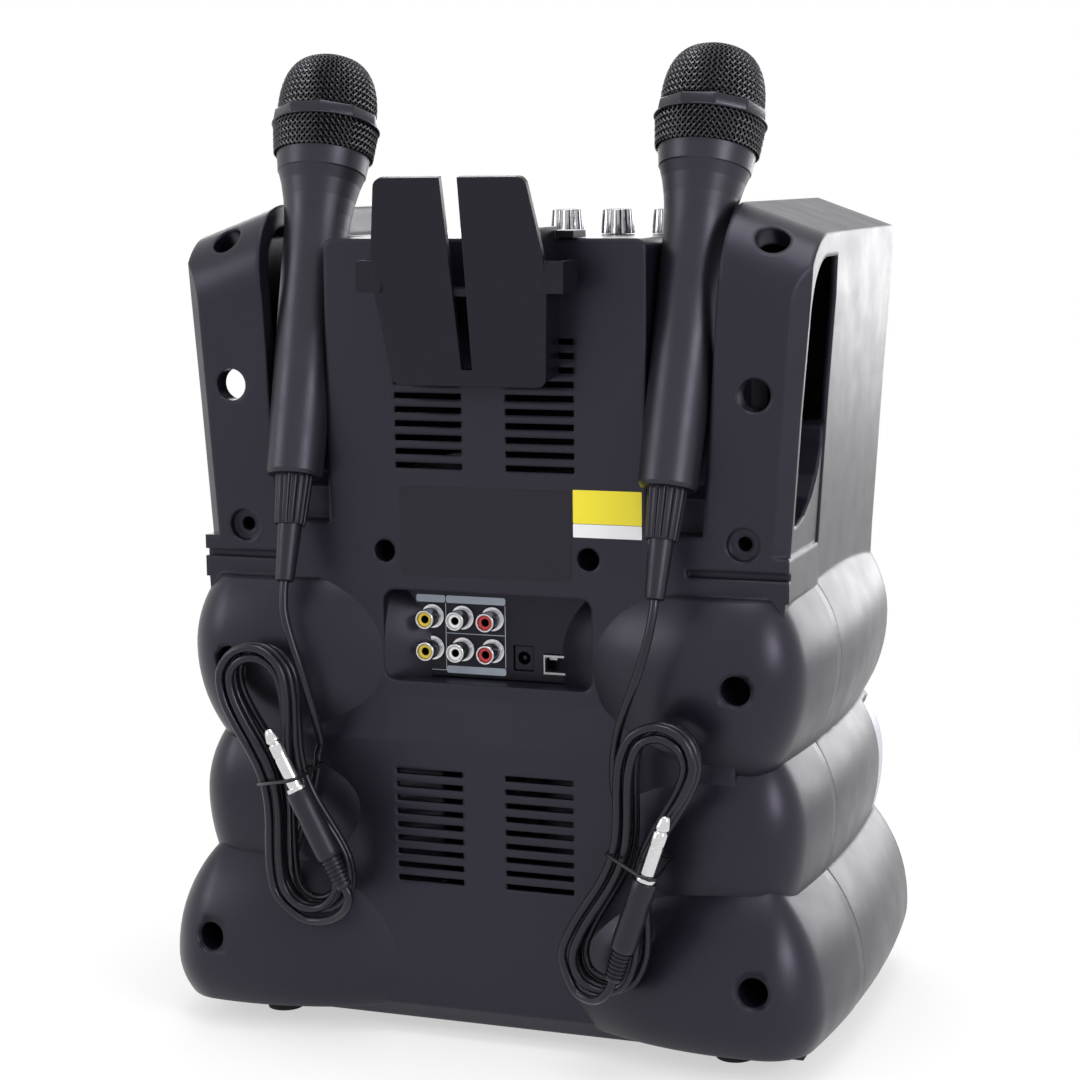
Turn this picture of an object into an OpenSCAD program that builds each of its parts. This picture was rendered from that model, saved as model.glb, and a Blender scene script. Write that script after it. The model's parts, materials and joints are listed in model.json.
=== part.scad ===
// Karaoke machine with disc tray. The front faces -Y and the rear panel faces +Y.

/* [Cabinet] */
// Height of the feet
foot_h = 6.8; // [4:0.2:12]
// Radius of each foot
foot_r = 9; // [6:0.5:12]
// Distance of the feet from the middle plane
foot_x = 105; // [85:1:115]
// Height of the control deck above the floor
deck_z = 344.7; // [342:0.1:350]
// Wall of the moulded shells
wall = 2.6; // [2:0.1:3.4]
// Depth of the front cabinet, from the shell seam to its front edge
front_depth = 110; // [104:1:125]
// Depth of the rear cover, from the shell seam to the rear panel
rear_depth = 50; // [46:0.5:56]
// Distance of the rear panel behind the origin
panel_y = 66.55; // [60:0.1:75]
// Radius of the gentle bow of the side walls, seen from above
side_bow_r = 700; // [500:10:900]
// Step of the lower rear panel behind the upper one
lower_step = 5.2; // [3:0.1:8]
// Width across the upper front cabinet, halved
cabinet_half_w = 138; // [136:0.5:142]
// Thickness of the front fascia
fascia_t = 5; // [4:0.5:7]

/* [Side lobes] */
// Height of the flat base under the low lobe
low_base_z = 11.5; // [10:0.5:13]
// Height at which the low lobe is widest
low_wide_z = 29.5; // [27:0.5:34]
// Height of the valley between low and middle lobes
low_valley_z = 74.5; // [70:0.5:78]
// Height at which the middle lobe is widest
mid_wide_z = 100.5; // [98:0.5:104]
// Height of the valley between middle and high lobes
high_valley_z = 130; // [127:0.5:133]
// Height at which the high lobe is widest
high_wide_z = 167.5; // [163:0.5:172]
// Height of the top of the high lobe
lobe_top_z = 199.5; // [197:0.5:202]
// Half width of the low lobe, the widest part of the cabinet
low_half_w = 153; // [151:0.5:156]
// How far the base is drawn in from the low lobe
base_in = 6; // [5:0.5:8]
// How far the low valley is drawn in
low_valley_in = 16.5; // [15:0.5:18]
// How far the middle lobe is drawn in
mid_in = 12.5; // [11:0.5:14]
// How far the high valley is drawn in
high_valley_in = 22; // [20:0.5:24]
// How far the high lobe is drawn in
high_in = 11; // [10:0.5:13]
// How far the top of the high lobe is drawn in
lobe_top_in = 22.5; // [21:0.5:24]
// How far the low lobe stands behind the rear panel
low_bulge = 24.5; // [20:0.5:27]
// How far the middle lobe stands behind the rear panel
mid_bulge = 10; // [8:0.5:12]
// How far the high lobe stands behind the rear panel
high_bulge = 16; // [13:0.5:18]

/* [Side handles] */
// Half distance between the inner edges of the handles, at their foot
handle_in_x = 94.5; // [93:0.5:96]
// Height of the foot of each handle
handle_foot_z = 210.2; // [209:0.2:212]
// Height of the top of each handle at its inner edge
handle_top_z = 358.5; // [356:0.5:361]
// Thickness of the handle post
handle_t = 9; // [7:0.5:11]
// Outer radius of the bend at the top of the handle
handle_bend_r = 30; // [24:1:34]
// Downward slope of the top of the handle, in degrees
handle_slope = 20; // [15:1:24]

/* [Rear panel] */
// Half width of the panel between the two microphone channels
panel_half_w = 71.2; // [70:0.2:72]
// Height of the ledge under each microphone channel
ledge_z = 224; // [221:0.5:227]
// Length of one cooling slot
slot_l = 30.4; // [24:0.2:32]
// Height of one cooling slot
slot_h = 2.64; // [2:0.02:3.2]
// Pitch of the cooling slots
slot_pitch = 5.9; // [5.2:0.1:6.5]
// Distance of the slots from the middle plane
slot_in_x = 9.7; // [7:0.1:12]
// Half width of the connector recess
recess_half_w = 47; // [45:0.5:49]
// Height of the lower edge of the connector recess
recess_z = 156.5; // [155:0.5:158]
// Height of the connector recess
recess_h = 39.5; // [37:0.5:41]
// Depth of the connector recess
recess_d = 13; // [10:0.5:16]
// Radius of a panel screw hole
panel_hole_r = 4.85; // [4:0.05:6]
// Radius of a lobe screw hole
lobe_hole_r = 6.25; // [5.5:0.05:7]
// Radius of a handle hole
handle_hole_r = 6.9; // [6:0.1:7.5]

/* [Connectors] */
// Outer radius of a phono socket
phono_r = 4.15; // [4.1:0.01:4.2]
// Distance between phono socket columns
phono_pitch_x = 13.8; // [13:0.1:15]
// Distance between phono socket rows
phono_pitch_z = 13.9; // [13:0.1:15]
// Bore radius of the power inlet
inlet_r = 2.8; // [2.6:0.05:3.1]
// Inner width of the charging port
port_w = 12.4; // [12:0.1:13]
// Bore radius of a microphone socket
jack_r = 3.25; // [3.2:0.01:3.4]
// Bore length of a microphone socket
jack_l = 26; // [22:1:30]

/* [Screen and controls] */
// Width of the screen window
screen_w = 156; // [140:1:164]
// Height of the screen window
screen_h = 88; // [80:1:92]
// Height of the centre of the screen
screen_z = 294; // [291:1:296]
// Radius of a control knob at its foot
knob_r = 7.3; // [6.5:0.1:8]
// Height of a control knob
knob_h = 10.5; // [9:0.5:13]
// Distance between control knobs
knob_pitch = 23; // [20:0.5:25]
// Radius of a knob shaft
shaft_r = 3; // [2.5:0.1:3.2]
// Width of a push button
button_w = 14; // [11:0.5:16]
// Height of a push button
button_h = 7; // [6:0.5:8]
// Travel of a push button
button_travel = 1; // [0.6:0.1:1.2]

/* [Disc drive] */
// Width of the disc tray
tray_w = 128; // [126:0.5:132]
// Length of the disc tray
tray_l = 134; // [131:0.5:136]
// Thickness of the disc tray
tray_t = 7; // [6:0.5:8]
// Height of the underside of the disc tray
tray_z = 226; // [225.5:0.5:228]
// Radius of the disc recess in the tray
disc_r = 60.6; // [60.3:0.1:61]
// Depth of the disc recess
disc_recess = 2; // [1.5:0.1:2.5]
// Gear module of the tray drive
gear_module = 1; // [1:0.05:1.2]
// Teeth on the drive pinion
pinion_teeth = 18; // [17:1:20]

/* [Speaker] */
// Height of the centre of the speaker
speaker_z = 80; // [76:1:84]
// Radius of the speaker cone
cone_r = 50; // [44:1:53]
// Depth of the speaker cone
cone_d = 20; // [15:1:24]
// Radius of the speaker magnet
magnet_r = 30; // [25:1:34]

/* [Microphones] */
// Lean of the microphones towards the front, in degrees
mic_lean = 18.6; // [16:0.2:20]
// Lean of the microphones away from the middle, in degrees
mic_splay = 1.6; // [0:0.1:2.5]
// Radius of the grille at its ring
grille_r = 22.6; // [21:0.1:24]
// Radius of the handle where it leaves the channel
grip_top_r = 14.1; // [13:0.1:14.6]
// Radius of the handle at its lower end
grip_end_r = 12.2; // [11:0.1:12.8]
// Length of the handle from the grille centre to its lower end
grip_l = 151; // [145:1:156]
// Gap between a microphone and its channel
mic_gap = 0.3; // [0.2:0.05:0.5]
// Diameter of a microphone cord
cord_d = 3.8; // [3.6:0.1:4]

/* [Phone cradle] */
// Width of the cradle back plate, halved
cradle_half_w = 34; // [32:0.5:36]
// Height of the lower edge of the cradle
cradle_z = 285.5; // [283:0.5:288]
// Length of the cradle back plate
cradle_l = 87; // [80:1:90]
// Lean of the cradle back plate, in degrees
cradle_lean = 12.6; // [10:0.2:14]
// Thickness of the cradle walls
cradle_t = 3; // [2.4:0.1:3.4]

/* [Hidden] */
$fn = 72;
shell_col = "#2b2a33";
trim_col = "#1c1c22";
metal_col = "#c9c9cf";
seam_y = -rear_depth;
front_y = seam_y - front_depth;
bow_y = seam_y - 35;
gap = 0.3;
lap = 5;
band = 60;
seam_gap = 0.2;
base_half_w = low_half_w - base_in;
low_valley_half_w = low_half_w - low_valley_in;
mid_half_w = low_half_w - mid_in;
high_valley_half_w = low_half_w - high_valley_in;
high_half_w = low_half_w - high_in;
lobe_top_half_w = low_half_w - lobe_top_in;
core_half_w = low_half_w - 33;

function arc_r(h, d) = (h * h + d * d) / (2 * d);
function circle_meet(a, ra, b, rb) =
  let (d = norm(b - a), u = (b - a) / d, p = (d * d + ra * ra - rb * rb) / (2 * d), h = sqrt(ra * ra - p * p))
  let (m = a + p * u, n = h * [-u[1], u[0]])
  (m + n)[1] > (m - n)[1] ? m + n : m - n;
// Arc as a list of points, for outlines with rounded corners
function arc(c, r, a0, a1, n) = [for (i = [0:n]) c + r * [cos(a0 + (a1 - a0) * i / n), sin(a0 + (a1 - a0) * i / n)]];
function round_box(w0, z0, w1, z1, r) = concat(
  arc([w1 - r, z0 + r], r, -90, 0, 4), arc([w1 - r, z1 - r], r, 0, 90, 4),
  arc([w0 + r, z1 - r], r, 90, 180, 4), arc([w0 + r, z0 + r], r, 180, 270, 4));

// Each lobe: low z, high z, widest z, upper radius, lower radius, half width, bulge, rear peak x, rear radius, corner radius
lobes = [
  [low_base_z, low_valley_z + lap, low_wide_z,
    arc_r(low_valley_z - low_wide_z, low_half_w - low_valley_half_w),
    arc_r(low_wide_z - low_base_z, low_half_w - base_half_w), low_half_w, low_bulge, low_half_w - 41, 140, 26],
  [low_valley_z - lap, high_valley_z + lap, mid_wide_z,
    arc_r(high_valley_z - mid_wide_z, mid_half_w - high_valley_half_w),
    arc_r(mid_wide_z - low_valley_z, mid_half_w - low_valley_half_w), mid_half_w, mid_bulge, low_half_w - 53, 180, 22],
  [high_valley_z - lap, lobe_top_z, high_wide_z,
    arc_r(lobe_top_z - high_wide_z, high_half_w - lobe_top_half_w),
    arc_r(high_wide_z - high_valley_z, high_half_w - high_valley_half_w), high_half_w, high_bulge, low_half_w - 45, 120, 24]];

function side_centre(l) = [l[5] - side_bow_r, bow_y];
function rear_centre(l) = [l[7], l[6] - l[8]];
function corner_centre(l) = circle_meet(side_centre(l), side_bow_r - l[9], rear_centre(l), l[8] - l[9]);
function heading(a, b) = atan2(b[1] - a[1], b[0] - a[0]);
function side_angle(y) = asin((y - bow_y) / side_bow_r);
function side_sink(y) = side_bow_r - sqrt(pow(side_bow_r, 2) - pow(y - bow_y, 2));

module place() translate([0, panel_y, 0]) children();
module both() {
  children();
  mirror([1, 0, 0]) children();
}
// Outline in x and z, raised from y0 to y1
module along_y(y0, y1) translate([0, y1, 0]) rotate([90, 0, 0]) linear_extrude(y1 - y0) children();
// Outline in y and z, raised from x0 to x1
module along_x(x0, x1) translate([x0, 0, 0]) rotate([90, 0, 90]) linear_extrude(x1 - x0) children();
module rod_y(x, z, r, y0, y1) translate([x, y1, z]) rotate([90, 0, 0]) cylinder(r = r, h = y1 - y0);

module lobe_profile(l, x, inset) {
  low = l[2] < low_valley_z ? l[0] + inset : l[0];
  intersection() {
    union() {
      intersection() {
        translate([x - l[3], l[2]]) circle(l[3] - inset);
        translate([0, l[2]]) square([x + 1, l[3]]);
      }
      intersection() {
        translate([x - l[4], l[2]]) circle(l[4] - inset);
        translate([0, l[2] - l[4]]) square([x + 1, l[4]]);
      }
    }
    translate([max(0, x - band), low]) square([band, l[1] - low]);
  }
}
module lobe_sweep(l, x, c, a0, a1, inset)
  translate([c[0], c[1], 0]) rotate([0, 0, a0]) rotate_extrude(angle = a1 - a0) lobe_profile(l, x, inset);
// Rear part of a lobe, lofted through levels: each level is the plan outline drawn in by the profile
side_steps = 2;
corner_steps = 5;
rear_steps = 4;
level_steps = 4;
function arc_rays(c, r, a0, a1, n) = [for (i = [0:n]) let (a = a0 + (a1 - a0) * i / n) [c, r, a]];
function lobe_rays(l, y0) =
  let (cs = side_centre(l), cr = rear_centre(l), cc = corner_centre(l))
  concat(arc_rays(cs, side_bow_r, side_angle(y0), heading(cs, cc), side_steps),
    arc_rays(cc, l[9], heading(cs, cc) + 3, heading(cr, cc), corner_steps),
    arc_rays(cr, l[8], heading(cr, cc) + 5, 90 + asin((l[7] - 20) / l[8]), rear_steps));
function draw_in(l, z) = let (r = z > l[2] ? l[3] : l[4]) r - sqrt(r * r - pow(z - l[2], 2));
function lobe_levels(l) = concat([for (i = [0:level_steps - 1]) l[2] - (l[2] - l[0]) * cos(90 * i / level_steps)],
  [for (i = [0:level_steps]) l[2] + (l[1] - l[2]) * sin(90 * i / level_steps)]);
module rear_lobe(l, y0) {
  rays = lobe_rays(l, y0);
  levels = lobe_levels(l);
  m = len(levels);
  n = len(rays) + 2;
  polyhedron(
    [for (z = levels, k = [0:n - 1]) k == n - 1 ? [-1, y0, z] : k == n - 2 ? [-1, l[6] - 40, z] :
      let (c = rays[k][0], r = rays[k][1] - draw_in(l, z), a = k == 0 ? asin((y0 - c[1]) / r) : rays[k][2])
      [c[0] + r * cos(a), c[1] + r * sin(a), z]],
    concat([[for (k = [0:n - 1]) k]], [[for (k = [n - 1:-1:0]) (m - 1) * n + k]],
      [for (j = [0:m - 2], k = [0:n - 1]) [j * n + k, (j + 1) * n + k, j * n + (k + 1) % n]],
      [for (j = [0:m - 2], k = [0:n - 1]) [j * n + (k + 1) % n, (j + 1) * n + k, (j + 1) * n + (k + 1) % n]]));
}
module front_lobe(l, inset, y0, y1)
  lobe_sweep(l, side_bow_r, side_centre(l), side_angle(y0), side_angle(y1), inset);

// Rear cover
slope_top_z = 150.5;
slope_low_z = 131.5;
band_z = 207;
mic_x = 87;
mic_y = -39.5;
mic_z = 389;
grip_top_t = 45;

module at_mic() translate([mic_x, mic_y, mic_z]) rotate([mic_lean, mic_splay, 0]) children();
// Tapered round channel that the microphone lies in, open to the rear
module mic_channel() at_mic() {
  reach = 175;
  r0 = grip_top_r + mic_gap + (grip_top_r - grip_end_r) * (grip_top_t - 25) / (grip_l - grip_top_t);
  r1 = grip_end_r + mic_gap - (grip_top_r - grip_end_r) * (reach - grip_l) / (grip_l - grip_top_t);
  translate([0, 0, -reach]) cylinder(r1 = r1, r2 = r0, h = reach - 25);
  rotate([90, 0, 0]) translate([0, 0, -70]) linear_extrude(70)
    polygon([[-r1, -reach], [r1, -reach], [r0, -25], [-r0, -25]]);
}
module handle_outline() {
  polygon(concat(
    arc([handle_in_x + 5, handle_foot_z + 5], 5, 180, 270, 4),
    arc([125, handle_foot_z + 5], 5, 270, 360, 4),
    [[134, 273.5], [138, 321.5], [cabinet_half_w + 1.5, deck_z], [cabinet_half_w + 1.5, handle_top_z + 5],
     [104.5, handle_top_z + 5], [103.5, 350], [100.8, 319.5], [98, 267.5]]));
}
// Post and horn seen from the side, with a round bend at the top rear
module horn_side(inset, top, depth) {
  r = handle_bend_r - inset;
  translate([-depth, -200]) square([depth - inset, 200 - r - inset]);
  translate([-depth, -200]) square([depth - handle_bend_r, 200 - top]);
  intersection() {
    translate([-handle_bend_r, -handle_bend_r]) circle(r);
    translate([-handle_bend_r, -handle_bend_r]) square(handle_bend_r);
  }
}
module horn(inset, top, depth)
  translate([104.3, 0, handle_top_z]) rotate([0, handle_slope, 0]) along_x(-120, 120) horn_side(inset, top, depth);
module finger_limit()
  along_x(80, 170) polygon(concat([[-handle_t, 229.5]], arc([seam_y + 40, 268], 40, -78, -180, 6),
    [[seam_y - 2, 268], [seam_y - 2, 400], [0, 400], [0, 229.5]]));
module handle() difference() {
  intersection() {
    along_y(seam_y, 0) handle_outline();
    horn(0, 0, rear_depth + 1);
  }
  intersection() {
    horn(handle_t, handle_t, rear_depth + 3);
    finger_limit();
  }
  translate([cabinet_half_w - 3.6, 0, 330]) rotate([0, 4, 0]) translate([0, 0, -122])
    linear_extrude(150) polygon([[-3.5, 1], [6, 1], [6, -8.5]]);
}
module rear_outer() {
  both() {
    for (l = lobes) rear_lobe(l, seam_y);
    handle();
  }
  along_x(10 - core_half_w, core_half_w - 10) polygon([[seam_y, foot_h], [0, foot_h], [lower_step, 14.7], [lower_step, slope_low_z],
    [0, slope_top_z], [0, band_z], [seam_y, band_z]]);
  along_y(seam_y, 0) polygon([[9 - base_half_w, foot_h], [base_half_w - 9, foot_h],
    [base_half_w - 6, low_base_z + 1], [6 - base_half_w, low_base_z + 1]]);
  along_y(seam_y, 0) polygon([[1.5 - lobe_top_half_w, lobe_top_z - 9.5], [lobe_top_half_w - 1.5, lobe_top_z - 9.5],
    [lobe_top_half_w - 0.5, band_z], [0.5 - lobe_top_half_w, band_z]]);
  along_y(seam_y, 0) polygon([[-lobe_top_half_w - 0.5, lobe_top_z - 1.5], [lobe_top_half_w + 0.5, lobe_top_z - 1.5],
    [lobe_top_half_w + 0.5, handle_foot_z + 6], [96, handle_foot_z + 6],
    [96, ledge_z], [-96, ledge_z], [-96, handle_foot_z + 6], [-lobe_top_half_w - 0.5, handle_foot_z + 6]]);
  along_y(seam_y, 0) polygon(concat([[-panel_half_w, 200], [panel_half_w, 200]],
    arc([panel_half_w - 4, deck_z - 4], 4, 0, 90, 4), arc([4 - panel_half_w, deck_z - 4], 4, 90, 180, 4)));
  along_x(-102, 102) polygon([[seam_y, 220], [-10, 220], [-10, 238], [-1.5, 246], [-34, deck_z], [seam_y, deck_z]]);
}
module rear_cavity() {
  along_x(-104, 104) polygon([[seam_y - 1, foot_h + wall], [-1, foot_h + wall], [lower_step - wall, 16],
    [lower_step - wall, slope_low_z], [-wall, slope_top_z - 1], [-wall, band_z - 1], [seam_y - 1, band_z - 1]]);
  along_y(seam_y - 1, -wall) polygon([[wall - panel_half_w, 200], [panel_half_w - wall, 200],
    [panel_half_w - wall, deck_z - wall], [wall - panel_half_w, deck_z - wall]]);
  both() {
    translate([low_half_w, 0, 0]) {
      along_y(seam_y - 1, 0) polygon([[-53, 16], [-11, 16], [-7, 26], [-9, 42], [-23, 72], [-23, 78], [-19.5, 100],
        [-27.5, 128], [-27.5, 132], [-18, 160], [-19, 172], [-29, 194], [-53, 194]]);
      along_y(-1, 12) polygon([[-55, 18], [-21, 18], [-21, 44], [-35, 60], [-55, 60]]);
    }
  }
}
module slot_column(x, z, n)
  for (i = [0:n - 1]) translate([x, -wall - 1, z - slot_pitch * i - slot_h]) cube([slot_l, 12, slot_h]);
module screw_post(x, z, r, y) difference() {
  rod_y(x, z, r + 2, seam_y + gap, y);
  rod_y(x, z, r, seam_y + 8, y + 1);
  rod_y(x, z, 2, seam_y - 1, y);
}
lobe_holes = [[low_half_w - 40, 164.3, high_bulge], [low_half_w - 30.6, 41.6, low_bulge]];
panel_hole = [45.8, 212.6];
handle_low = [111.8, 221.3];
handle_mid = [116.4, 282.2];
handle_top = [121.4, 342.3];
module rear_cover() color(shell_col) place() {
  difference() {
    union() {
      difference() {
        rear_outer();
        rear_cavity();
      }
      along_y(-recess_d - wall, -1) polygon(round_box(-recess_half_w - wall, recess_z - wall,
        recess_half_w + wall, recess_z + recess_h + wall, 6));
    }
    along_y(-recess_d - wall - 1, 8) polygon(round_box(-recess_half_w, recess_z, recess_half_w, recess_z + recess_h, 5));
    both() {
      mic_channel();
      slot_column(slot_in_x, deck_z - 40.7, 10);
      slot_column(slot_in_x, slope_low_z - 12, 9);
      for (h = lobe_holes) rod_y(h[0], h[1], lobe_hole_r, -20, 40);
      rod_y(panel_hole[0], panel_hole[1], panel_hole_r, -20, 5);
      rod_y(handle_mid[0], handle_mid[1], handle_hole_r, -handle_t - 2, 5);
      rod_y(handle_low[0], handle_low[1], handle_hole_r, -4, 5);
      rod_y(handle_low[0], handle_low[1], 3, -30, 5);
      translate([handle_top[0], -11.6, handle_top[1]]) rotate([-45, 0, 0]) cylinder(r = handle_hole_r, h = 20, center = true);
      translate([88, -3, band_z]) cube([43.5, 5, handle_foot_z - band_z]);
    }
  }
  both() {
    for (h = lobe_holes) screw_post(h[0], h[1], lobe_hole_r, h[2] - 5);
    screw_post(panel_hole[0], panel_hole[1], panel_hole_r, -1);
  }
}

// Front cabinet
top_block_z = 320;
module upper_front(inset, y0, y1) {
  w = cabinet_half_w - inset;
  along_y(y0, y1) polygon([[-lobe_top_half_w + inset + 1, lobe_top_z - 12], [lobe_top_half_w - inset - 1, lobe_top_z - 12],
    [lobe_top_half_w - inset, 210], [w - 3, 280], [w, top_block_z], [w + 1, deck_z + 1 - inset],
    [104, handle_top_z - inset], [96, handle_top_z - inset - 2], [91, deck_z - inset],
    [-91, deck_z - inset], [-96, handle_top_z - inset - 2], [-104, handle_top_z - inset],
    [-w - 1, deck_z + 1 - inset], [-w, top_block_z], [3 - w, 280], [inset - lobe_top_half_w, 210]]);
}
module front_outer(inset, y0, y1) {
  low = foot_h + inset;
  both() for (l = lobes) front_lobe(l, inset, y0, y1);
  translate([inset - core_half_w, y0, low]) cube([2 * core_half_w - 2 * inset, y1 - y0, lobe_top_z - low - 2.7]);
  translate([-core_half_w - 0.5, y0, low_base_z + inset + 0.5])
    cube([2 * core_half_w + 1, y1 - y0, lobe_top_z - low_base_z - 5]);
  upper_front(inset, y0, y1);
}
deck_cut = [-88, front_y + 8, 88, seam_y - 10];
lens_y = front_y + 15;
module lens_zone(grow)
  both() translate([low_half_w - 49, front_y - 20, high_valley_z - 53 - grow]) cube([60, 20 + lens_y - front_y + grow, 50 + 2 * grow]);
module front_cabinet() color(shell_col) place() {
  difference() {
    front_outer(0, front_y, seam_y - seam_gap);
    front_outer(wall, front_y - 1, seam_y + 1);
    translate([deck_cut[0], deck_cut[1], deck_z - 10])
      cube([deck_cut[2] - deck_cut[0], deck_cut[3] - deck_cut[1], 30]);
    lens_zone(gap);
  }
  both() for (h = lobe_holes) difference() {
    union() {
      rod_y(h[0], h[1], 5, seam_y - 30, seam_y - seam_gap);
      translate([h[0], seam_y - 30, h[1] - 1.5])
        cube([(h[1] > high_valley_z ? high_half_w : low_half_w) - wall / 2 - 1.2 - h[0], 29, 3]);
    }
    rod_y(h[0], h[1], 1.75, seam_y - 26, seam_y + 1);
  }
}
module light_lens() color("#d8d4ea") place() intersection() {
  difference() {
    both() front_lobe(lobes[1], 0, front_y, seam_y);
    both() front_lobe(lobes[1], wall, front_y - 1, seam_y + 1);
  }
  lens_zone(0);
}

// Front fascia
tray_front_z = tray_z - 3.6 + gap + 0.3;
tray_front_h = tray_t + 6;
jack_x = 66;
jack_z = 176;
button_z = 205;
button_x = [-40, -20, 0, 20, 40];
power_x = 66;
module front_shape(inset) {
  sink = side_sink(front_y);
  difference() {
    union() {
      for (l = lobes, m = [0, 1]) mirror([m, 0]) lobe_profile(l, l[5] - sink, inset);
      translate([20 - core_half_w, foot_h + inset]) square([2 * core_half_w - 40, lobe_top_z - foot_h - 2.7]);
    }
    for (m = [0, 1]) mirror([m, 0]) translate([low_half_w - 52, mid_wide_z - 24]) square([60, 50]);
  }
  w = cabinet_half_w - inset;
  polygon([[-lobe_top_half_w + inset + 5, lobe_top_z - 12], [lobe_top_half_w - inset - 5, lobe_top_z - 12],
    [lobe_top_half_w - inset, 210], [w - 3, 280], [w, top_block_z], [w, deck_z - inset],
    [-w, deck_z - inset], [-w, top_block_z], [3 - w, 280], [inset - lobe_top_half_w, 210]]);
}
speaker_hole_r = cone_r + 6;
module front_fascia() color(trim_col) place() {
  difference() {
    along_y(front_y - fascia_t, front_y) front_shape(1);
    along_y(front_y - fascia_t - 1, front_y + 1) {
      polygon(round_box(-screen_w / 2, screen_z - screen_h / 2, screen_w / 2, screen_z + screen_h / 2, 4));
      polygon(round_box(-tray_w / 2 - 2, tray_front_z - 1, tray_w / 2 + 2, tray_front_z + tray_front_h + 1, 1));
      for (x = button_x) polygon(round_box(x - button_w / 2 - gap, button_z - button_h / 2 - gap,
        x + button_w / 2 + gap, button_z + button_h / 2 + gap, 2));
    }
    rod_y(0, speaker_z, speaker_hole_r, front_y - fascia_t - 1, front_y + 1);
    both() rod_y(jack_x, jack_z, 7, front_y - fascia_t - 1, front_y + 1);
    rod_y(power_x, button_z, 5 + gap, front_y - fascia_t - 1, front_y + 1);
  }
  both() translate([52, front_y, tray_z - 10]) cube([10, 92, 3]);
}

// Control deck
deck_t = 3;
knob_x = [-16 - 2 * knob_pitch, -16 - knob_pitch, -16];
knob_y = -64;
module deck() color(trim_col) place() difference() {
  union() {
    translate([deck_cut[0] + gap, deck_cut[1] + gap, deck_z - deck_t])
      cube([deck_cut[2] - deck_cut[0] - 2 * gap, deck_cut[3] - deck_cut[1] - 2 * gap, deck_t]);
    translate([deck_cut[0] - 6, deck_cut[1] - 4, deck_z - wall - 2])
      cube([deck_cut[2] - deck_cut[0] + 12, deck_cut[3] - deck_cut[1] + 8, 2]);
  }
  for (x = knob_x) translate([x, knob_y, deck_z - 20]) cylinder(r = shaft_r + 1, h = 30);
}
module volume_pots() color("#8d8f92") place() for (x = knob_x) translate([x, knob_y, 0]) {
  translate([-7, -7, deck_z - wall - 2 - 8]) cube([14, 14, 8]);
  translate([0, 0, deck_z - wall - 3]) cylinder(r = shaft_r, h = knob_h + wall);
}
module knob(i) color(metal_col) place() translate([knob_x[i], knob_y, deck_z + gap]) difference() {
  intersection() {
    linear_extrude(knob_h) polygon([for (k = [0:71]) let (r = knob_r - (k % 3 == 0 ? 0.45 : 0)) r * [cos(5 * k), sin(5 * k)]]);
    cylinder(r1 = knob_r + 0.2, r2 = knob_r - 0.9, h = knob_h);
  }
  translate([0, 0, -1]) cylinder(r = shaft_r + 0.05, h = knob_h - 2);
}

// Screen
lcd_t = 6;
module screen_bezel() color(trim_col) place() difference() {
  along_y(front_y - fascia_t - 1.5, front_y - fascia_t)
    polygon(round_box(-screen_w / 2 - 8, screen_z - screen_h / 2 - 5, screen_w / 2 + 8, screen_z + screen_h / 2 + 4, 4));
  along_y(front_y - fascia_t - 2, front_y - fascia_t + 1)
    polygon(round_box(-screen_w / 2, screen_z - screen_h / 2, screen_w / 2, screen_z + screen_h / 2, 4));
}
module screen_window() color([0.2, 0.22, 0.26, 0.5]) place() along_y(front_y - fascia_t, front_y - fascia_t + 2)
  polygon(round_box(-screen_w / 2, screen_z - screen_h / 2, screen_w / 2, screen_z + screen_h / 2, 4));
module lcd_panel() color("#15161c") place() translate([-screen_w / 2 - 4, front_y, screen_z - screen_h / 2 - 3])
  cube([screen_w + 8, lcd_t, deck_z - wall - 2 - gap - (screen_z - screen_h / 2 - 3)]);

// Buttons
flange_t = 1.2;
module button(i) color("#55545e") place() {
  x = button_x[i];
  along_y(front_y - fascia_t - 1.6, front_y + button_travel)
    polygon(round_box(x - button_w / 2, button_z - button_h / 2, x + button_w / 2, button_z + button_h / 2, 2));
  along_y(front_y + gap, front_y + gap + flange_t)
    polygon(round_box(x - button_w / 2 - 1.5, button_z - button_h / 2 - 1, x + button_w / 2 + 1.5, button_z + button_h / 2 + 1, 2));
}
module power_button() color("#8a2a2a") place() {
  rod_y(power_x, button_z, 5, front_y - fascia_t - 1.6, front_y + button_travel);
  rod_y(power_x, button_z, 6.5, front_y + gap, front_y + gap + flange_t);
}
board_y = front_y + gap + flange_t + button_travel + 4;
module button_board() color("#2f5d3a") place() {
  translate([-54, board_y, button_z - 6]) cube([130, 1.6, 11]);
  for (x = concat(button_x, [power_x])) translate([x - 3, board_y - 3.6, button_z - 3]) cube([6, 3.6, 6]);
  for (x = [-52, 73]) translate([x, front_y, button_z - 3]) cube([2, board_y - front_y, 6]);
}
module mic_jacks() color("#3a3a40") place() both() difference() {
  union() {
    rod_y(jack_x, jack_z, 7, front_y - fascia_t - 1, front_y - fascia_t);
    rod_y(jack_x, jack_z, 6.6, front_y - fascia_t, front_y + 1);
    translate([jack_x - 8, front_y, jack_z - 8]) cube([16, jack_l, 16]);
  }
  rod_y(jack_x, jack_z, jack_r, front_y - fascia_t - 2, front_y - fascia_t - 1 + jack_l);
}

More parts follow.
